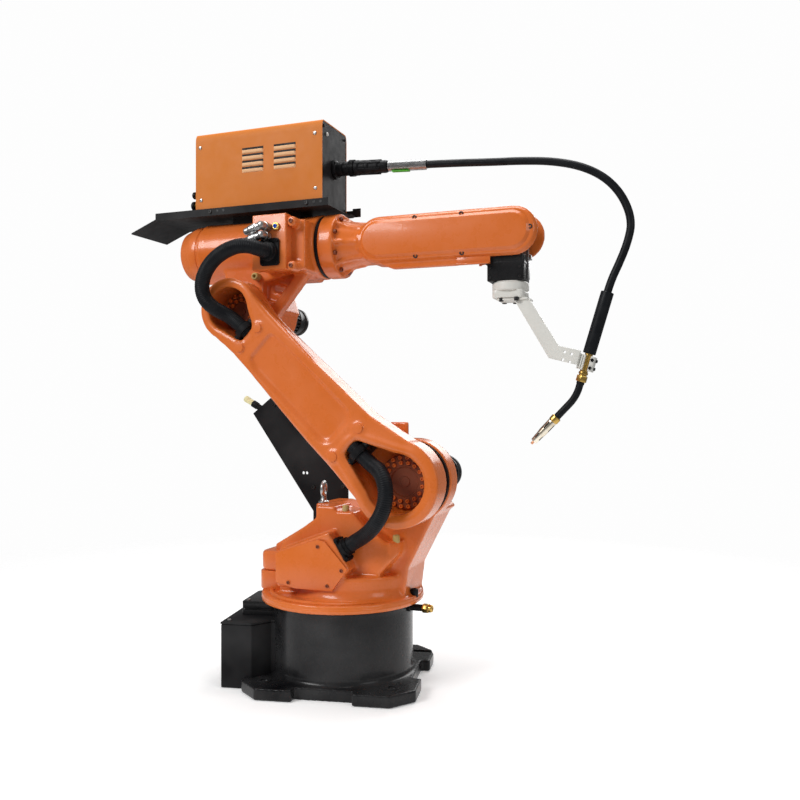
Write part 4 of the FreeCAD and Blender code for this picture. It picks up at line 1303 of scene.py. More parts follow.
def arm_frame() -> Matrix:
    """Frame of the lower arm: +X along it, +Z towards the near side, from the shoulder axis.

    Returns:
        The frame, in millimetres.
    """
    along = Vector((-math.sin(ARM_LEAN), 0, math.cos(ARM_LEAN)))
    near = Vector((0, -1, 0))
    turn = Matrix((along, near.cross(along), near)).transposed().to_4x4()
    return Matrix.Translation((SHOULDER_X, ARM_FACE, SHOULDER_Z)) @ turn


@dataclass
class LowerArm:
    """Link with two openings, and the reducers and hose clamps seen in them."""

    length: float = 584.0
    depth: float = 100.0
    floor: float = 22.0
    lip: float = 13.0

    def build(self) -> None:
        """Build the lower arm's pieces."""
        self.link()
        self.reducer("shoulder_gear_disc", 0.0, 62.0, (20, 16))
        self.reducer("elbow_gear_disc", self.length, 46.0, (16, 12))
        self.clamp("lower_hose_clamp", 104.0, 13.0)
        self.clamp("upper_hose_clamp", self.length - 72.0, 8.0)

    def pocket_lip(self, centre: float, radius: float, neck: Outline, start: float) -> list[Vector]:
        """Centreline of the lip round an opening.

        Args:
            centre: Place of the round part along the arm.
            radius: Radius of the lip's round part.
            neck: Corners of the lip past the round part.
            start: Angle at which the round part starts, in degrees.

        Returns:
            The line, which ends where it starts.
        """
        line = [*arc((centre, 0), radius, start, start + 200, 30), *neck]
        return [Vector((x, y, self.depth - 7)) for x, y in (*line, line[0])]

    def link(self) -> None:
        """The link casting: rolled lips round the openings and rails along both edges, on a narrower back."""
        added = Shape()
        foot = self.pocket_lip(0, 83, [(62, -56), (124, -26), (142, -14), (148, 14), (144, 44), (128, 55),
                                       (62, 70)], 82)
        head = self.pocket_lip(self.length, 63, [(548, 57), (510, 45), (493, 30), (490, 6), (492, -16),
                                                 (508, -31), (548, -54)], -100)
        rails = (((20, -84), (60, -70), (110, -56), (171, -50), (237, -49), (335, -51), (434, -53),
                  (500, -54), (560, -58)),
                 ((20, 82), (90, 76), (150, 73), (220, 72), (313, 67), (411, 60), (502, 53), (560, 57)))
        for line, radius in ((foot, 11), (head, 9)):
            added.add(tube(line, [radius] * len(line), 20))
        for rail in rails:
            line = [Vector((x, y, self.depth - self.lip)) for x, y in rail]
            added.add(tube(line, [self.lip] * len(line), 20))
            line = [Vector((x, y * 0.97, self.depth * 0.5)) for x, y in rail]
            added.add(tube(line, [self.lip - 2] * len(line), 20))
        narrow = [*arc((0, 0), 84, 66, 294, 30), (66, -66), (115, -51), (160, -47), (490, -44), (540, -50),
                  *arc((self.length, 0), 61, -70, 70, 16), (540, 54), (490, 56), (150, 66)]
        skirt = carved(Shape().add(block((900, 300, 36)), (290, 0, -4)),
                       Shape().add(plate(narrow, 60), (0, 0, -12)), "skirt")
        removed = Shape().add(skirt.mesh)
        removed.add(tapered(pad(184, self.length - 140, -32, 50, 18),
                            pad(160, self.length - 116, -52, 70, 34), 1, 14), (0, 0, self.depth - 9))
        Casting("lower_arm_link", 3.0, 8, arm_frame()).cast(added, removed, "link_body", Body.LOWER_ARM, ORANGE)
        bosses = Shape(arm_frame())
        for spot in ((146, -30), (147, 60), (491, -22), (495, 43)):
            bosses.add(lathe([(0, 0), (14.5, 0), (14.5, 3), (12.6, 5), (0, 5)], 40),
                       (*spot, self.depth - 1.5), edge=0.8)
            bosses.add(lathe([(0, 0), (11, 0), (11, 3.2), (0, 3.2)], 40), (*spot, self.depth + 3), edge=1.0)
        bosses.publish("link_bosses", Body.LOWER_ARM, ORANGE)

    def reducer(self, node: str, along: float, radius: float, counts: tuple[int, int]) -> None:
        """Output disc of a reducer with two rings of socket screws.

        Args:
            node: The CAD node.
            along: Place along the arm.
            radius: Radius of the disc.
            counts: Screws in the outer and the inner ring.
        """
        top = self.floor + 12
        shape = Shape(arm_frame() @ Matrix.Translation((along, 0, 0)))
        shape.add(lathe([(0, self.floor), (radius, self.floor), (radius, top - 2), (radius - 2, top),
                         (radius * 0.56, top), (radius * 0.52, top - 3), (radius * 0.2, top - 3),
                         (radius * 0.18, top - 1), (0, top - 1)], 96))
        # The disc in dark orange: painted shade inside the opening.
        shape.publish(node + "_body", Body.LOWER_ARM, SHADE_ORANGE, [node])
        screws = Shape(shape.place)
        screws.add_many(lambda: socket_screw(4.6, 5, 16),
                        [(x, y, top) for x, y in ring_of(counts[0], radius - 6)])
        screws.add_many(lambda: socket_screw(4.6, 5, 16),
                        [(x, y, top) for x, y in ring_of(counts[1], radius - 18, 180 / counts[0])])
        screws.publish(node + "_screws", Body.LOWER_ARM, ORANGE)

    def clamp(self, node: str, along: float, across: float) -> None:
        """Split clamp of a hose: a saddle, a strap with two ears, and the screws through them.

        Args:
            node: The CAD node.
            along: Where it starts along the arm.
            across: Place of the hose across the arm.
        """
        height = 85.7
        shape = Shape(arm_frame() @ Matrix.Translation((along, across, 0)))
        shape.add(block((14, 50, height - 12 - self.floor), 3), (7, 0, self.floor), edge=1)
        shape.add(lathe([(17.8, 0), (24, 0), (24, 2), (25, 3), (25, 13), (24, 14), (24, 16), (17.8, 16)], 64,
                        closed=True), (-1, 0, height), Axis.FORWARD)
        for side in (-1, 1):
            shape.add(block((14, 14, 9), 4), (7, side * 28, height - 8), edge=1)
            shape.add(block((14, 14, 7), 4), (7, side * 28, height + 2), edge=1)
        shape.publish(node + "_body", Body.LOWER_ARM, BLACK_PLASTIC, [node])
        screws = Shape(shape.place)
        screws.add_many(lambda: socket_screw(3.6, 3.6), [(7, side * 29, height + 9) for side in (-1, 1)])
        screws.publish(node + "_screws", Body.LOWER_ARM, SCREW_BLACK)


# ------------------------------------------------------------------ elbow

@dataclass
class Elbow:
    """Elbow casting with the roll housing, its cable entry and its motors."""

    near: float = 60.0
    far: float = 60.0
    radius: float = 77.0
    back: float = -371.0
    front: float = -44.0
    entry_near: float = 140.0

    def build(self) -> None:
        """Build the elbow's pieces."""
        self.casting()
        self.roll_cover()
        self.entry_box()
        self.connectors()
        self.small_parts()
        Motor(ELBOW_X, ELBOW_Z, self.far, 44, 118).build("elbow_motor", Body.ELBOW)

    def casting(self) -> None:
        """The elbow casting: hub, gusset with its pocket, roll housing and cable entry."""
        r = self.radius
        added = Shape()
        added.add(lathe([(0, 0), (r + 2, 0), (r + 2, 16), (r, 22), (0, 22)], 96), (self.front - 0.4, 0, ROLL_Z),
                  Axis.BACKWARD)
        added.add(lathe([(0, 0), (r + 1.5, 0), (r + 1.5, 9), (r, 12), (0, 12)], 96), (self.back, 0, ROLL_Z),
                  Axis.FORWARD)
        added.add(block((118, 76, 118)), (-109, -71, 984))
        for x, z in ((-72, 1094), (-72, 990)):
            added.add(disc(12, 34), (x, -102, z), Axis.NEARWARD)
        added.add(plate([(-62, 1006), (-62, 988), (-152, 882), (-172, 896), (-86, 996)], 30), (0, -30, 0),
                  Axis.NEARWARD)
        removed = Shape()
        removed.add(plate([(-20, 976), (-142, 976), (-166, 948), (-151, 905), (-140, 870), (-20, 870)], 84),
                    (0, 66, 0), Axis.NEARWARD)
        removed.add(disc(11, 150), (-162, 75, 953), Axis.NEARWARD)
        Casting("elbow_casting", 3.0, 4).cast(added, removed, "elbow_body", Body.ELBOW, ORANGE)
        screws = Shape()
        screws.add_many(lambda: socket_screw(5.2, 4, 16), [(-72, -136, z) for z in (1094, 990)], Axis.NEARWARD)
        # Ear screws in dark orange: painted shade.
        screws.publish("entry_ear_screws", Body.ELBOW, SHADE_ORANGE)

    def roll_cover(self) -> None:
        """Motor cover behind the roll housing, with a seam and a conical end."""
        r = self.radius - 3
        profile = [(0, 0), (r, 0), (r, 3), (r - 1.6, 4), (r - 1.6, 6.5), (r, 7.5), (r, 25), (r - 1.5, 29),
                   (62, 57), (57, 61), (48, 62), (0, 62)]
        Shape().add(lathe(profile, 128), (self.back, 0, ROLL_Z), Axis.BACKWARD, 0.8).publish(
            "roll_cap", Body.ELBOW, ORANGE, ["roll_motor_cover"])
        screws = Shape()
        for y, z in ring_of(4, 40, 45):
            screws.add(socket_screw(4, 3), (self.back - 62, y, ROLL_Z + z), Axis.BACKWARD)
        screws.publish("roll_cap_screws", Body.ELBOW, ZINC)
        seal = [(0, 0), (r + 1, 0), (r + 1.6, 2), (r + 1.6, 5.6), (r + 1, 7.6), (0, 7.6)]
        Shape().add(lathe(seal, 128), (self.front, 0, ROLL_Z), Axis.FORWARD, 0.4).publish(
            "roll_seal", Body.ELBOW, BLACK_RUBBER, ["roll_seal_ring"])

    def entry_box(self) -> None:
        """Cable entry box with its cover screws, and the gland of the upper hose."""
        shape = Shape().add(block((90, 31, 131), 3), (-128, -self.entry_near + 15.5, 982), edge=3.5)
        shape.publish("entry_box_body", Body.ELBOW, ORANGE, ["cable_entry_box"])
        flange = Shape()
        flange.add(block((50, 64, 6), 7), (-124, -self.entry_near, 1023), Axis.NEARWARD, 1.2)
        flange.add(gland(HOSE_BORE, 18), (-125, -self.entry_near - 6, 1023), Axis.NEARWARD)
        spots = [(-124 + x, -self.entry_near - 6, 1023 + z) for x in (-19, 19) for z in (-26, 26)]
        flange.add_many(lambda: socket_screw(3.6, 3.4), spots, Axis.NEARWARD)
        flange.publish("upper_gland", Body.ELBOW, BLACK_PLASTIC, ["elbow_hose_gland"])

    def connectors(self) -> None:
        """Two right-angle plug connectors: a hexagon and knurled ring at the wall, a barrel with its cap."""
        shape = Shape()
        lean = Matrix.Rotation(math.radians(-108), 4, "Y")
        x, reach = -130, 30
        for z in (1081.5, 1059):
            root = (x, -self.entry_near, z)
            corner = (x, -self.entry_near - reach, z)
            shape.add(hexagon(20, 8), root, Axis.NEARWARD)
            shape.add(lathe([(0, 0), (9, 0), (9, reach + 3), (7.5, reach + 8), (4, reach + 10),
                             (0, reach + 10.5)], 48), root, Axis.NEARWARD)
            shape.add(ribbed(11, 10, 18, 0.8), (x, -self.entry_near - 10, z), Axis.NEARWARD)
            shape.add(lathe([(0, -8), (5, -7.5), (8, -5), (9, -1), (9, 14), (11, 16), (11, 31), (9.4, 34),
                             (9.4, 43), (7, 47), (0, 48)], 48), corner, lean, 0.6)
        shape.publish("cable_connectors", Body.ELBOW, ZINC, ["elbow_connectors"])

    def small_parts(self) -> None:
        """Air port, rubber stop and the plug on the roll housing."""
        at = (-108, -self.entry_near, 1082)
        Shape().add(lathe([(5, 0), (9.5, 0), (9.5, 5), (8, 7), (5, 7)], 40, closed=True), at, Axis.NEARWARD,
                    0.4).publish("air_port_ring", Body.ELBOW, BRASS)
        Shape().add(lathe([(0, 0), (5, 0), (5, 8), (4.4, 9), (2.4, 9), (2.2, 5), (0, 5)], 32), at, Axis.NEARWARD,
                    0.3).publish("air_port_body", Body.ELBOW, BLUE, ["air_port"])
        bumper = lathe([(0, 0), (9.4, 0), (9.6, 4), (9.2, 17), (8, 19.4), (4.6, 20), (4, 18), (4, 9), (0, 9)], 40)
        Shape().add(bumper, (-203, -self.near, 980), Axis.NEARWARD, 0.4).publish(
            "elbow_stop", Body.ELBOW, OCHRE_RUBBER, ["elbow_bumper"])
        Shape().add(lathe([(0, -5), (8, -5), (8, 4), (6.5, 5.5), (0, 5.5)], 32),
                    (-66, -self.radius, ROLL_Z - 2), Axis.NEARWARD, 0.4).publish("housing_plug", Body.ELBOW, ORANGE)


# ------------------------------------------------------------------ wire feeder

@dataclass
class WireFeeder:
    """Wire feeder on its tray, and the plug, spring and socket of the torch cable."""

    floor: float = 1142.0
    top: float = 1347.5
    half: float = 71.5
    back: float = -376.0
    front: float = -23.0
    corner: float = 9.0
    bend: float = 21.0
    sheet: float = 2.5
    plug_z: float = 1243.0
    droop: float = math.radians(3)

    def build(self) -> None:
        """Build the feeder's pieces."""
        self.cover()
        self.louvres()
        self.end_plates()
        self.tray()
        self.inlets()
        self.plug()

    def arch(self, inset: float, foot: float) -> list[tuple[float, float]]:
        """Outline of the cover's section for a plate laid FORWARD, as (-z, y) pairs.

        Args:
            inset: How far inside the cover's outer face it lies.
            foot: Height of its lower ends.

        Returns:
            The outline.
        """
        half, top, across, down = self.half - inset, self.top - inset, self.corner - inset, self.bend - inset
        turns = [math.radians(a) for a in range(0, 91, 10)]
        near = [(-(top - down + down * math.sin(a)), -(half - across + across * math.cos(a))) for a in turns]
        far = [(height, -y) for height, y in reversed(near)]
        return [(-foot, -half), *near, *far, (-foot, half)]

    def cover(self) -> None:
        """Sheet cover over the top and both sides."""
        ring = self.arch(0, self.floor) + self.arch(self.sheet, self.floor)[::-1]
        Shape().add(plate(ring, self.front - self.back), (self.back, 0, 0), Axis.FORWARD).publish(
            "feeder_hood", Body.ELBOW, ORANGE_SHEET, ["feeder_cover"])
        screws = Shape()
        for x, z in ((-362.6, 1313), (-42, 1314.6), (-40.6, 1183), (-359.7, 1180.5)):
            for side, axis in ((-1, Axis.NEARWARD), (1, Axis.FARWARD)):
                screws.add(lathe([(0, 0), (4.6, 0), (4.3, 1.4), (3, 2.6), (1.6, 2.9), (1.4, 1.6), (0, 1.6)], 24),
                           (x, side * self.half, z), axis)
        screws.publish("feeder_screws", Body.ELBOW, ZINC)

    def louvres(self) -> None:
        """Two groups of four pressed louvres on each side: a black strip of painted shade in each slot, above a
        scoop painted pale as a painted highlight.
        """
        hoods, painted_dark_strips = Shape(), Shape()
        for side in (-1, 1):
            turn = Matrix.Rotation(0 if side < 0 else math.pi, 4, "Z")
            for x in (-211.5, -123):
                for row in range(4):
                    z = 1296.5 - 15.7 * row
                    place = Matrix.Translation((x, side * self.half, z)) @ turn
                    scoop = plate([(-1, -3.4), (4.6, -3.6), (4.4, -5.2), (2.6, -9.6), (-1, -12.0)], 61)
                    bmesh.ops.rotate(scoop, verts=scoop.verts, cent=(0, 0, 0),
                                     matrix=Matrix(((0, 0, 1), (-1, 0, 0), (0, 1, 0))))
                    bmesh.ops.translate(scoop, verts=scoop.verts, vec=(-30.5, 0, 0))
                    for vert in scoop.verts:
                        if vert.co.y < 0:
                            vert.co.x *= 0.9
                    bmesh.ops.recalc_face_normals(scoop, faces=scoop.faces)
                    hoods.add(scoop, (0, 0, 0), place, 0.7)
                    # Black strip behind each scoop: painted shade inside the louvre slot.
                    painted_dark_strips.add(block((59, 1.6, 7.0)), (0, 0, 0), place @ Matrix.Translation((0, 0, -4.4)))
        # The scoops are painted pale orange: a painted highlight.
        hoods.publish("louvre_scoops", Body.ELBOW, HIGHLIGHT_ORANGE)
        painted_dark_strips.publish("louvre_slot_painted_shade", Body.ELBOW, BLACK_PLASTIC)

    def end_plates(self) -> None:
        """Black end plates with their screws."""
        shape = Shape()
        for x in (self.back + 0.5, self.front - 3.5):
            shape.add(plate(self.arch(self.sheet + 0.2, self.floor), 3), (x, 0, 0), Axis.FORWARD)
        shape.publish("feeder_end_plates", Body.ELBOW, BLACK_SHEET, ["feeder_housing"])
        pale = Shape().add(lathe([(0, 0), (5, 0), (4.6, 2), (3, 3), (0, 3)], 24), (self.front, -44, 1318),
                           Axis.FORWARD)
        pale.publish("end_plate_stud", Body.ELBOW, WHITE)
        screws = Shape()
        spots = [(y, z) for y in (-60, 60) for z in (1154, 1334)]
        screws.add_many(lambda: socket_screw(3.6, 2.8), [(self.front, y, z) for y, z in spots], Axis.FORWARD)
        screws.add_many(lambda: socket_screw(3.6, 2.8), [(self.back, y, z) for y, z in spots], Axis.BACKWARD)
        screws.publish("end_plate_screws", Body.ELBOW, SCREW_BLACK)

    def tray(self) -> None:
        """Folded tray, its lip screws and the tab on its far lip."""
        repaint("feeder_tray", BLACK_SHEET)
        screws = Shape()
        for x in (-330.6, -62.6):
            screws.add(socket_screw(5.0, 3.0), (x, -76, 1148.4), Axis.NEARWARD)
            for step in (20, 38):
                screws.add(lathe([(0, 0), (3.4, 0), (3.4, 0.5), (2.6, 0.6), (2.4, 0.1), (0, 0.1)], 24),
                           (x + step, -76, 1148.8), Axis.NEARWARD)
        screws.publish("tray_screws", Body.ELBOW, SCREW_BLACK)
        tab = Shape().add(block((22, 3, 22), 0), (4, 74, 1140), edge=1)
        tab.add(block((48, 30, 2.5), 3), (-22, 58, 1140), edge=0.8)
        tab.publish("tray_tab", Body.ELBOW, BLACK_SHEET)

    def inlets(self) -> None:
        """Wire guide and hose fittings on the feeder's back."""
        brass, black = Shape(), Shape()
        for radius, y, rise in ((12, -52, 30), (9, -50, 58), (14, 20, 98)):
            at = (self.back, y, self.floor + rise)
            brass.add(hexagon(radius * 1.8, 8), at, Axis.BACKWARD)
            brass.add(lathe([(0, 0), (radius * 0.6, 0), (radius * 0.6, 17), (0, 17)], 32), at,
                      Axis.BACKWARD, 0.4)
            black.add(lathe([(0, 0), (radius, 0), (radius, 7), (radius - 2, 9), (0, 9)], 40),
                      (self.back - 12, y, self.floor + rise), Axis.BACKWARD, 0.6)
        brass.publish("inlet_nuts", Body.ELBOW, BRASS, ["feeder_inlets"])
        black.publish("inlet_caps", Body.ELBOW, BLACK_PLASTIC)

    def plug(self) -> None:
        """Socket on the end plate, the cable's plug in it, and the bend spring."""
        socket = Shape()
        socket.add(lathe([(0, 0), (23, 0), (23, 6), (19, 7), (17, 9), (17, 22), (16, 23), (16, 25), (17, 26),
                          (17, 41), (0, 41)], 64), (self.front, 0, self.plug_z), Axis.FORWARD, 0.6)
        socket.add_many(lambda: socket_screw(3, 2.6), [(self.front + 6, y, self.plug_z + z)
                                                       for y, z in ring_of(4, 19.4, 45)], Axis.FORWARD)
        socket.publish("cable_socket", Body.ELBOW, BLACK_PLASTIC, ["torch_socket"])
        start = self.front + 41 + 20 * math.tan(self.droop)
        line = Matrix.Translation((start, 0, self.plug_z)) @ Matrix.Rotation(math.pi / 2 + self.droop, 4, "Y")
        grip = Shape(line)
        grip.add(ribbed(20, 13, 40, 1.2))
        grip.add(lathe([(0, 0), (17, 0), (17, 14), (18.4, 15), (18.4, 24), (16.2, 27), (16.2, 40), (17.6, 43),
                        (17.6, 50), (15.6, 53), (15.6, 64), (16.8, 67), (16.8, 74), (15, 78), (15, 94),
                        (13.4, 99), (0, 99)], 64), edge=0.7)
        for angle in range(0, 360, 60):
            turn = Matrix.Rotation(math.radians(angle), 4, "Z")
            grip.add(block((3, 6, 64), 1), (0, 0, 0), turn @ Matrix.Translation((16.2, 0, 18)), 0.8)
        grip.publish("plug_grip", Body.ELBOW, BLACK_PLASTIC, ["torch_plug"])
        spring = Shape(line).add(coil(12.5, 2.6, 100, 34), (0, 0, 99))
        spring.publish("bend_spring", Body.ELBOW, ZINC, ["cable_spring"])
        core = Shape(line).add(disc(9.6, 99, steps=32), (0, 0, 99))
        core.publish("spring_core", Body.ELBOW, BLACK_RUBBER)
        tag = Shape(line).add(block((2.4, 12, 44), 1), (13.6, -3, 112), edge=0.6)
        tag.publish("spring_tag", Body.ELBOW, GREEN)


# ------------------------------------------------------------------ forearm and wrist

@dataclass
class Forearm:
    """Forearm casting, its long covers and their screws."""

    flange_start: float = -35.7
    flange: float = 39.0
    neck_radius: float = 50.0
    cover_start: float = 112.0
    cover_end: float = 433.0
    half: float = 52.0
    cover_radius: float = 51.0
    chamfer: float = 14.0
    cover_sink: float = 7.0
    cover_depth: float = 6.0

    def build(self) -> None:
        """Build the forearm's pieces."""
        self.casting()
        self.covers()

    def casting(self) -> None:
        """The forearm casting: bolted flange, fluted neck and fork."""
        end = self.flange_start + self.flange
        added = Shape()
        added.add(lathe([(0, 0), (62, 0), (60, 12), (54, 34), (self.neck_radius, 52), (0, 52)], 96),
                  (end - 1, 0, ROLL_Z), Axis.FORWARD)
        for angle in range(0, 360, 45):
            turn = Matrix.Translation((end, 0, ROLL_Z)) @ Matrix.Rotation(math.radians(angle), 4, "X")
            added.add(plate([(-2, 40), (-2, 73), (8, 70), (26, 58), (76, 52), (76, 40)], 9), (0, 0, 0),
                      turn @ Matrix.Translation((0, 4.5, 0)) @ Axis.NEARWARD.value)
        removed = Shape()
        removed.add(block((270, 100, 60), 8), (195, 28, ROLL_Z - 110))
        for side, axis in ((-1, Axis.NEARWARD), (1, Axis.FARWARD)):
            slope = tapered(capsule(self.cover_start, self.cover_end, 0, 57),
                            capsule(self.cover_start, self.cover_end, 0, 46), 0.5, 16)
            skirt = carved(Shape().add(plate(pad(60, 520, -90, 90, 10), 30), (0, 0, 1)),
                           Shape().add(slope), "skirt")
            removed.add(skirt.mesh, (0, side * (self.half - 13), ROLL_Z), axis)
        Casting("forearm_casting", 2.8, 4).cast(added, removed, "forearm_body", Body.FOREARM, ORANGE)
        screws = Shape()
        for y, z in ring_of(8, 66, 22.5):
            screws.add(socket_screw(5.6, 7, 18), (end - 0.6, y, ROLL_Z + z), Axis.FORWARD)
        # Flange screws in dark orange: painted shade of their recesses.
        screws.publish("flange_screws", Body.FOREARM, SHADE_ORANGE)
        guard = Shape().add(block((78, 9, 3)), (342, -self.half + 5, ROLL_Z - 71), edge=0.8)
        guard.add(block((78, 3, 18)), (342, -self.half + 9, ROLL_Z - 71), edge=0.8)
        guard.publish("belt_guard", Body.FOREARM, ORANGE)

    def covers(self) -> None:
        """Long round-ended covers with sloping rims, and the screws in them."""
        outer = capsule(self.cover_start, self.cover_end - 4, 0, self.cover_radius)
        inner = capsule(self.cover_start, self.cover_end - 4, 0, self.cover_radius - self.chamfer)
        sunk = self.half - self.cover_sink
        spots = [(204, 44.5), (316, 44.5), (206, -44.5), (317, -44.5), (self.cover_end + 40, 4)]
        screws = Shape()
        for side, name in ((-1, "near"), (1, "far")):
            axis = Axis.NEARWARD.value if side < 0 else Matrix.Scale(-1, 4, (0, 1, 0)) @ Axis.NEARWARD.value
            part = tapered(outer, inner, 1.2, self.cover_depth + self.cover_sink)
            rounded(part, 1.0)
            bmesh.ops.transform(part, matrix=axis, verts=part.verts)
            bmesh.ops.recalc_face_normals(part, faces=part.faces)
            Shape().add(part, (0, side * sunk, ROLL_Z)).publish(
                "forearm_lid_" + name, Body.FOREARM, ORANGE, ["forearm_cover_" + name])
            for x, rise in spots:
                screws.add(socket_screw(5.4, 7.0, 18), (x, side * (sunk + 2), ROLL_Z + rise),
                           Axis.NEARWARD if side < 0 else Axis.FARWARD)
        screws.publish("lid_screws", Body.FOREARM, SCREW_BLACK)


@dataclass
class Wrist:
    """Wrist housing between the arms of the fork."""

    radius: float = 46.0
    half: float = 34.0
    bottom: float = 944.0

    def build(self) -> None:
        """Build the wrist's pieces."""
        shape = Shape()
        shape.add(lathe([(0, -self.half), (self.radius, -self.half), (self.radius, self.half),
                         (0, self.half)], 96), (WRIST_X, 0, ROLL_Z), Axis.NEARWARD, 2.5)
        shape.add(disc(24, 75), (WRIST_X, 37.5, ROLL_Z), Axis.NEARWARD)
        shape.add(block((84, 66, ROLL_Z - self.bottom), 5), (WRIST_X - 5.5, 0, self.bottom), edge=2)
        shape.add(block((88, 68, 7), 4), (WRIST_X - 6.5, 0, self.bottom + 37), edge=1.4)
        shape.add(block((80, 62, 1.6), 4), (WRIST_X - 5, 0, self.bottom - 0.2))
        shape.publish("wrist_body", Body.WRIST, BLACK_GLOSS, ["wrist_housing"])
        strip = Shape().add(block((3, 17, 78), 0), (WRIST_X + 38, 14, self.bottom + 6), edge=0.8)
        strip.add(block((9, 12, 12), 0), (WRIST_X + 41, 14, self.bottom + 50), edge=1)
        strip.publish("wrist_strip", Body.WRIST, ZINC)
        screws = Shape()
        spots = [(WRIST_X - 40, z) for z in (952, 974)] + [(WRIST_X + 28, z) for z in (952, 974)]
        screws.add_many(lambda: socket_screw(3, 2.2), [(x, -self.half + 1, z) for x, z in spots], Axis.NEARWARD)
        screws.publish("wrist_screws", Body.WRIST, SCREW_BLACK)


# ------------------------------------------------------------------ torch

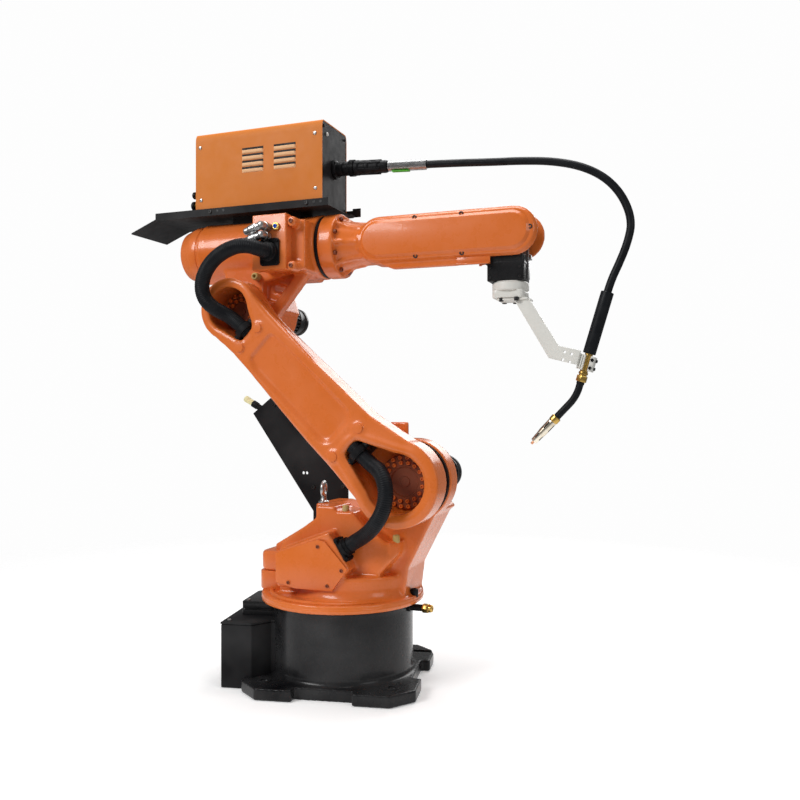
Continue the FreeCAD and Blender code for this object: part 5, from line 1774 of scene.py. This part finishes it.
@dataclass
class Torch:
    """Flange adapter, bracket, clamp and the torch with its nozzle."""

    adapter_bottom: float = 906.0
    clamp_x: float = 588.0
    clamp_z: float = 757.0
    tilt: float = math.radians(16.5)
    neck_turn: float = math.radians(27)
    neck_bend: float = 90.0
    half: float = 17.0

    def __post_init__(self) -> None:
        """Lay the frame of the torch: +Z up along it, from the clamp's centre."""
        self.line = Matrix.Translation((self.clamp_x, 0, self.clamp_z)) @ Matrix.Rotation(self.tilt, 4, "Y")

    def build(self) -> None:
        """Build the torch's pieces."""
        self.adapter()
        self.bracket()
        self.clamp()
        self.body()
        self.nozzle()

    def adapter(self) -> None:
        """Ivory adapter with a rounded shoulder, and the screws below it."""
        z = self.adapter_bottom
        profile = [(0, 16), (38, 16), *arc((38.5, 19), 3, -60, 0, 4), *arc((38.5, 32), 3, 0, 60, 4), (38, 36.5),
                   (37, 37.4), (0, 37.4)]
        shape = Shape().add(lathe(profile, 96), (WRIST_X, 0, z))
        shape.add(block((74, 66, 18), 12), (WRIST_X, 0, z), edge=1.6)
        shape.publish("adapter_body", Body.TOOL, WHITE, ["torch_flange_adapter"])
        screws = Shape()
        for x, y in ((WRIST_X - 16, -24), (WRIST_X + 20, -30), (WRIST_X - 20, 24), (WRIST_X + 4, 30)):
            screws.add(socket_screw(5.5, 8, 20), (x, y, z), Axis.DOWN)
        screws.publish("adapter_screws", Body.TOOL, SCREW_BLACK)

    def bracket(self) -> None:
        """Bent flat bar with four holes, on its seat plate."""
        z, cx, cz = self.adapter_bottom, self.clamp_x, self.clamp_z
        bar = Shape().add(plate([(WRIST_X + 10, z), (WRIST_X + 45, z), (cx - 57, cz + 38), (cx - 9, cz + 26.5),
                                 (cx - 17, cz - 5), (cx - 79, cz + 11)], 8), (0, -16, 0), Axis.NEARWARD, 1.0)
        holes = Shape()
        for x, rise in ((-44, 24), (-29, 19), (-48, 7), (-33, 2)):
            holes.add(disc(3.2, 14, steps=24), (cx + x, -13, cz + rise), Axis.NEARWARD)
        drilled = carved(bar, holes, "bracket")
        drilled.add(block((72, 56, 6), 5), (WRIST_X + 10, 0, z - 6), edge=1.2)
        drilled.publish("bracket_bar", Body.TOOL, WHITE, ["torch_bracket"])

    def clamp(self) -> None:
        """Clamp halves with ribs across them, and their screws."""
        h = self.half
        shape = Shape(self.line)
        for start, end in ((-h, -3), (8, h)):
            shape.add(block((end - start, 40, 2 * h), 1.5), ((start + end) / 2, 4, -h), edge=1.2)
        shape.add(block((20, 4, 2 * h), 0.5), (0, 22, -h), edge=0.8)
        for k in range(3):
            shape.add(block((3.0, 6, 2 * h - 2), 0.5), (-h + 2.5 + 4.8 * k, -17, -h + 1), edge=0.8)
        shape.publish("clamp_halves", Body.TOOL, WHITE, ["torch_clamp"])
        screws = Shape(self.line)
        for z in (-9, 9):
            screws.add(socket_screw(3.8, 4), (12.8, -16, z), Axis.NEARWARD)
            screws.add(socket_screw(3.6, 4), (h, 12, z), Axis.FORWARD)
        screws.publish("clamp_screws", Body.TOOL, SCREW_BLACK)

    def body(self) -> None:
        """Sleeve above the clamp, and the brass body with its nut below it."""
        start = self.half + 4
        sleeve = Shape(self.line).add(lathe([(0, 0), (13.6, 0), (14.2, 3), (14.2, 139), (13, 140), (10, 140),
                                             (0, 140)], 64), (0, 0, start), edge=0.5)
        sleeve.publish("sleeve_body", Body.TOOL, BLACK_RUBBER, ["torch_sleeve"])
        body = Shape(self.line)
        body.add(lathe([(0, 0), (8.8, 0), (8.8, 64), (0, 64)], 48), (0, 0, -self.half - 26))
        body.add(hexagon(22, 14), (0, 0, -self.half - 26))
        body.add(lathe([(0, 0), (10.4, 0), (10.4, 5), (0, 5)], 48), (0, 0, -self.half - 9), edge=0.6)
        body.publish("torch_core", Body.TOOL, BRASS, ["torch_body"])
        repaint("swan_neck", BLACK_RUBBER)
        collar = Shape(self.line).add(lathe([(0, 0), (8.8, 0), (8.8, 7), (0, 7)], 48),
                                      (0, 0, -self.half - 32), edge=0.6)
        collar.publish("neck_collar", Body.TOOL, BLACK_PLASTIC)

    def nozzle(self) -> None:
        """Insulating ring, polished gas nozzle with black strips on it as painted reflections, and contact tip."""
        top = self.line @ Vector((0, 0, -self.half - 26 - 13))
        centre = top + Vector((-math.cos(self.tilt), 0, math.sin(self.tilt))) * self.neck_bend
        last = self.tilt + self.neck_turn
        out = Vector((-math.sin(last), 0, -math.cos(last)))
        end = centre + Vector((math.cos(last), 0, -math.sin(last))) * self.neck_bend + out * 40
        line = Matrix.Translation(end) @ out.to_track_quat("Z", "Y").to_matrix().to_4x4()
        ring = Shape(line).add(lathe([(0, 0), (9, 0), (11, 1.5), (11, 12.5), (10, 14), (0, 14)], 48), edge=0.4)
        ring.publish("nozzle_ring", Body.TOOL, BRASS)
        tube_profile = [(6, 76), (7.5, 76), (8.4, 58), (9.8, 46), (10, 14), (9.4, 13.4), (0, 13.4), (0, 36),
                        (6, 36)]
        nozzle = Shape(line).add(lathe(tube_profile[::-1], 64), edge=0.3)
        nozzle.publish("nozzle_cone", Body.TOOL, NOZZLE, ["gas_nozzle"])
        # Black strips on the nozzle: painted reflections.
        painted_dark_strips = Shape(line)
        for angle in (20, 110, 200, 290):
            turn = Matrix.Rotation(math.radians(angle), 4, "Z")
            painted_dark_strips.add(block((1.6, 3.4, 20), 1.5), (0, 0, 0), turn @ Matrix.Translation((9.4, 0, 18)))
            painted_dark_strips.add(block((1.6, 2.6, 16), 1.2), (0, 0, 0), turn @ Matrix.Translation((8.2, 0, 50)))
        painted_dark_strips.publish("nozzle_painted_reflections", Body.TOOL, BLACK_PLASTIC)
        repaint("contact_tip", COPPER)


# ------------------------------------------------------------------ hoses and cable

@dataclass(frozen=True)
class Cord:
    """A hose or a length of cable: one smooth line, cut where it passes from body to body."""

    name: str
    diameter: float
    points: tuple[Point, ...]
    ribs: float = 0.0
    rib_height: float = 0.0

    def line(self) -> list[Vector]:
        """Its centreline in metres."""
        return route_line(self.points, self.name)

    def piece(self, name: str, line: Sequence[Vector], finish: Finish) -> bpy.types.Object:
        """Make a tube along a line.

        Args:
            name: Name of the piece.
            line: Its centreline in metres.
            finish: Its finish.

        Returns:
            The tube, which rides on nothing yet.
        """
        radius = self.diameter / 2 / MM
        if self.ribs:
            count = len(RIB_WAVE)
            path = walked(line, self.ribs / count * MM)
            radii = [radius - self.rib_height * (1 - RIB_WAVE[k % count]) for k in range(len(path))]
        else:
            path = walked(line, CABLE_STEP * MM)
            radii = [radius] * len(path)
        made = Shape().add(tube([p / MM for p in path], radii)).loose_object(name)
        made.data.transform(Matrix.Scale(MM, 4))
        dress(made, finish)
        made.data.shade_smooth()
        return made


def split_line(line: Sequence[Vector], cuts: Sequence[Point]) -> list[list[Vector]]:
    """Cut a line at the points of it that are nearest to the given ones.

    Args:
        line: The line.
        cuts: Where it is cut, in order.

    Returns:
        The runs, each of which starts where the last one ends.
    """
    nearest = (min(range(len(line)), key=lambda k: (line[k] - Vector(cut)).length) for cut in cuts)
    marks = [0, *nearest, len(line) - 1]
    return [list(line[a:b + 1]) for a, b in zip(marks, marks[1:])]


@dataclass
class Hoses:
    """The two hoses of the lower arm."""

    lower: Cord = Cord("lower_route", 0.035, (
        (0.0566, -0.119, 0.3352), (0.089, -0.119, 0.3554), (0.120, -0.152, 0.371), (0.156, -0.187, 0.396),
        (0.183, -0.194, 0.434), (0.190, -0.193, 0.480), (0.172, -0.182, 0.520), (0.13165, -0.146, 0.5322),
        (0.08958, -0.146, 0.57212)), 4.4, 0.7)
    upper: Cord = Cord("upper_route", 0.035, (
        (-0.125, -0.146, 1.023), (-0.125, -0.178, 1.023), (-0.162, -0.197, 1.034), (-0.207, -0.200, 1.024),
        (-0.248, -0.198, 1.000), (-0.276, -0.194, 0.962), (-0.279, -0.188, 0.922), (-0.256, -0.181, 0.893),
        (-0.21672, -0.146, 0.86968), (-0.1761, -0.146, 0.83113)), 4.4, 0.7)

    def build(self) -> None:
        """Build both hoses."""
        for cord, name, bodies in ((self.lower, "lower_hose", (Body.TURRET, Body.LOWER_ARM)),
                                   (self.upper, "upper_hose", (Body.ELBOW, Body.LOWER_ARM))):
            line = cord.line()
            made = cord.piece(name + "_tube", line, BLACK_RUBBER)
            first, second = bodies
            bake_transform(made, first.value, second.value, start=line[0], end=line[-1])
            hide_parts(name)
            LOG.info("%s: %.0f mm", name, length_of(line) / MM)


@dataclass
class TorchCable:
    """The torch's cable, in three lengths that meet end to end."""

    route: Cord = Cord("cable_route", 0.0175, (
        (0.21776, 0, 1.23258), (0.27967, 0, 1.22934), (0.378, 0, 1.222), (0.446, 0, 1.218), (0.515, 0, 1.210),
        (0.580, 0, 1.192), (0.632, 0, 1.161), (0.668, 0, 1.116), (0.686, 0, 1.062), (0.676, 0, 1.016),
        (0.659, 0, 0.974), (0.64109, 0, 0.9363), (0.63371, 0, 0.91137)))
    cuts: tuple[Point, ...] = ((0.4805, 0, 1.214), (0.681, 0, 1.039))

    def build(self) -> None:
        """Build the three lengths."""
        runs = split_line(self.route.line(), self.cuts)
        names = ("torch_cable_rear", "torch_cable_middle", "torch_cable_front")
        bodies = ((Body.ELBOW, Body.FOREARM), (Body.FOREARM, Body.WRIST), (Body.WRIST, Body.TOOL))
        for run, name, (first, second) in zip(runs, names, bodies):
            made = self.route.piece(name + "_tube", run, BLACK_RUBBER)
            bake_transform(made, first.value, second.value, start=run[0], end=run[-1])
            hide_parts(name)
            LOG.info("%s: %.0f mm", name, length_of(run) / MM)


# ------------------------------------------------------------------ studio

@dataclass
class Studio:
    """Floor, lights and camera; lengths are in metres."""

    camera_at: Point = (0.852, -1.881, 0.662)
    pan: float = math.radians(20.5)
    lens: float = 37.8
    shift: float = 0.0075
    floor_size: float = 12.0
    floor_fade: float = 2.4
    floor_glow: float = 0.22
    seen_light: float = 0.985
    cast_light: float = 0.21
    lamps: tuple[tuple[str, Point, float, float], ...] = (
        ("key", (-1.9, -3.0, 2.9), 1.6, 104), ("side", (3.2, -1.4, 1.9), 1.4, 17),
        ("top", (0.1, 0.3, 3.6), 2.0, 82), ("back", (0.4, 3.4, 2.4), 2.0, 46))

    def build(self) -> None:
        """Set up the studio."""
        self.floor()
        self.world()
        for name, at, size, power in self.lamps:
            self.area(name, at, size, power)
        bpy.context.scene.view_settings.view_transform = "Standard"
        self.camera()

    def floor(self) -> None:
        """Plain pale floor."""
        data = bpy.data.meshes.new("floor")
        made = bmesh.new()
        bmesh.ops.create_grid(made, x_segments=2, y_segments=2, size=self.floor_size / 2)
        made.to_mesh(data)
        made.free()
        graph = Graph("floor_pale")
        graph.feed("Base Color", graph.blend(graph.spread(graph.noise(1.5, 2.0), 0.0, 1.0), (0.90, 0.90, 0.90),
                                             (0.92, 0.92, 0.92)))
        graph.feed("Roughness", 0.7)
        graph.feed("Specular IOR Level", 0.1)
        graph.feed("Emission Color", (1.0, 1.0, 1.0, 1.0))
        graph.feed("Emission Strength", self.floor_glow)
        fade = graph.tree.nodes.new("ShaderNodeTexGradient")
        fade.gradient_type = "SPHERICAL"
        graph.tree.links.new(graph.stretched((1 / self.floor_fade,) * 3), fade.inputs["Vector"])
        graph.feed("Alpha", graph.spread(fade.outputs["Fac"], 0.0, 1.0, 0.0, 0.7))
        data.materials.append(graph.material)
        floor = bpy.data.objects.new("floor", data)
        bpy.context.scene.collection.objects.link(floor)

    def world(self) -> None:
        """White surroundings that throw less light than they show."""
        world = bpy.data.worlds.new("white_room")
        world.use_nodes = True
        tree = world.node_tree
        seen = tree.nodes["Background"]
        cast = tree.nodes.new("ShaderNodeBackground")
        for node, strength in ((seen, self.seen_light), (cast, self.cast_light)):
            node.inputs["Color"].default_value = (1.0, 1.0, 1.0, 1.0)
            node.inputs["Strength"].default_value = strength
        path, mix = tree.nodes.new("ShaderNodeLightPath"), tree.nodes.new("ShaderNodeMixShader")
        tree.links.new(path.outputs["Is Camera Ray"], mix.inputs[0])
        tree.links.new(cast.outputs[0], mix.inputs[1])
        tree.links.new(seen.outputs[0], mix.inputs[2])
        tree.links.new(mix.outputs[0], tree.nodes["World Output"].inputs["Surface"])
        bpy.context.scene.world = world

    def area(self, name: str, at: Point, size: float, power: float) -> None:
        """Hang a soft square lamp that faces the middle of the arm.

        Args:
            name: Name of the lamp.
            at: Its place.
            size: Length of its side.
            power: Its power in watts.
        """
        lamp = bpy.data.lights.new(name, "AREA")
        lamp.size, lamp.energy = size, power
        made = bpy.data.objects.new(name, lamp)
        made.location = at
        made.rotation_euler = (Vector((0.05, 0, 0.75)) - Vector(at)).to_track_quat("-Z", "Y").to_euler()
        bpy.context.scene.collection.objects.link(made)

    def camera(self) -> None:
        """Camera a little above mid height, turned to the left."""
        data = bpy.data.cameras.new("camera")
        data.lens, data.shift_y, data.sensor_width = self.lens, self.shift, SENSOR_WIDTH
        made = bpy.data.objects.new("camera", data)
        made.location = self.camera_at
        made.rotation_euler = (math.pi / 2, 0, self.pan)
        bpy.context.scene.collection.objects.link(made)
        bpy.context.scene.camera = made


def main() -> None:
    """Build the arm and the studio round it."""
    logging.basicConfig(level=logging.INFO, format="%(name)s %(message)s")
    Studio().build()
    Hoses().build()
    TorchCable().build()
    for assembly in (Base(), Turret(), LowerArm(), Elbow(), WireFeeder(), Forearm(), Wrist(), Torch()):
        assembly.build()


if __name__ == "__main__":
    main()
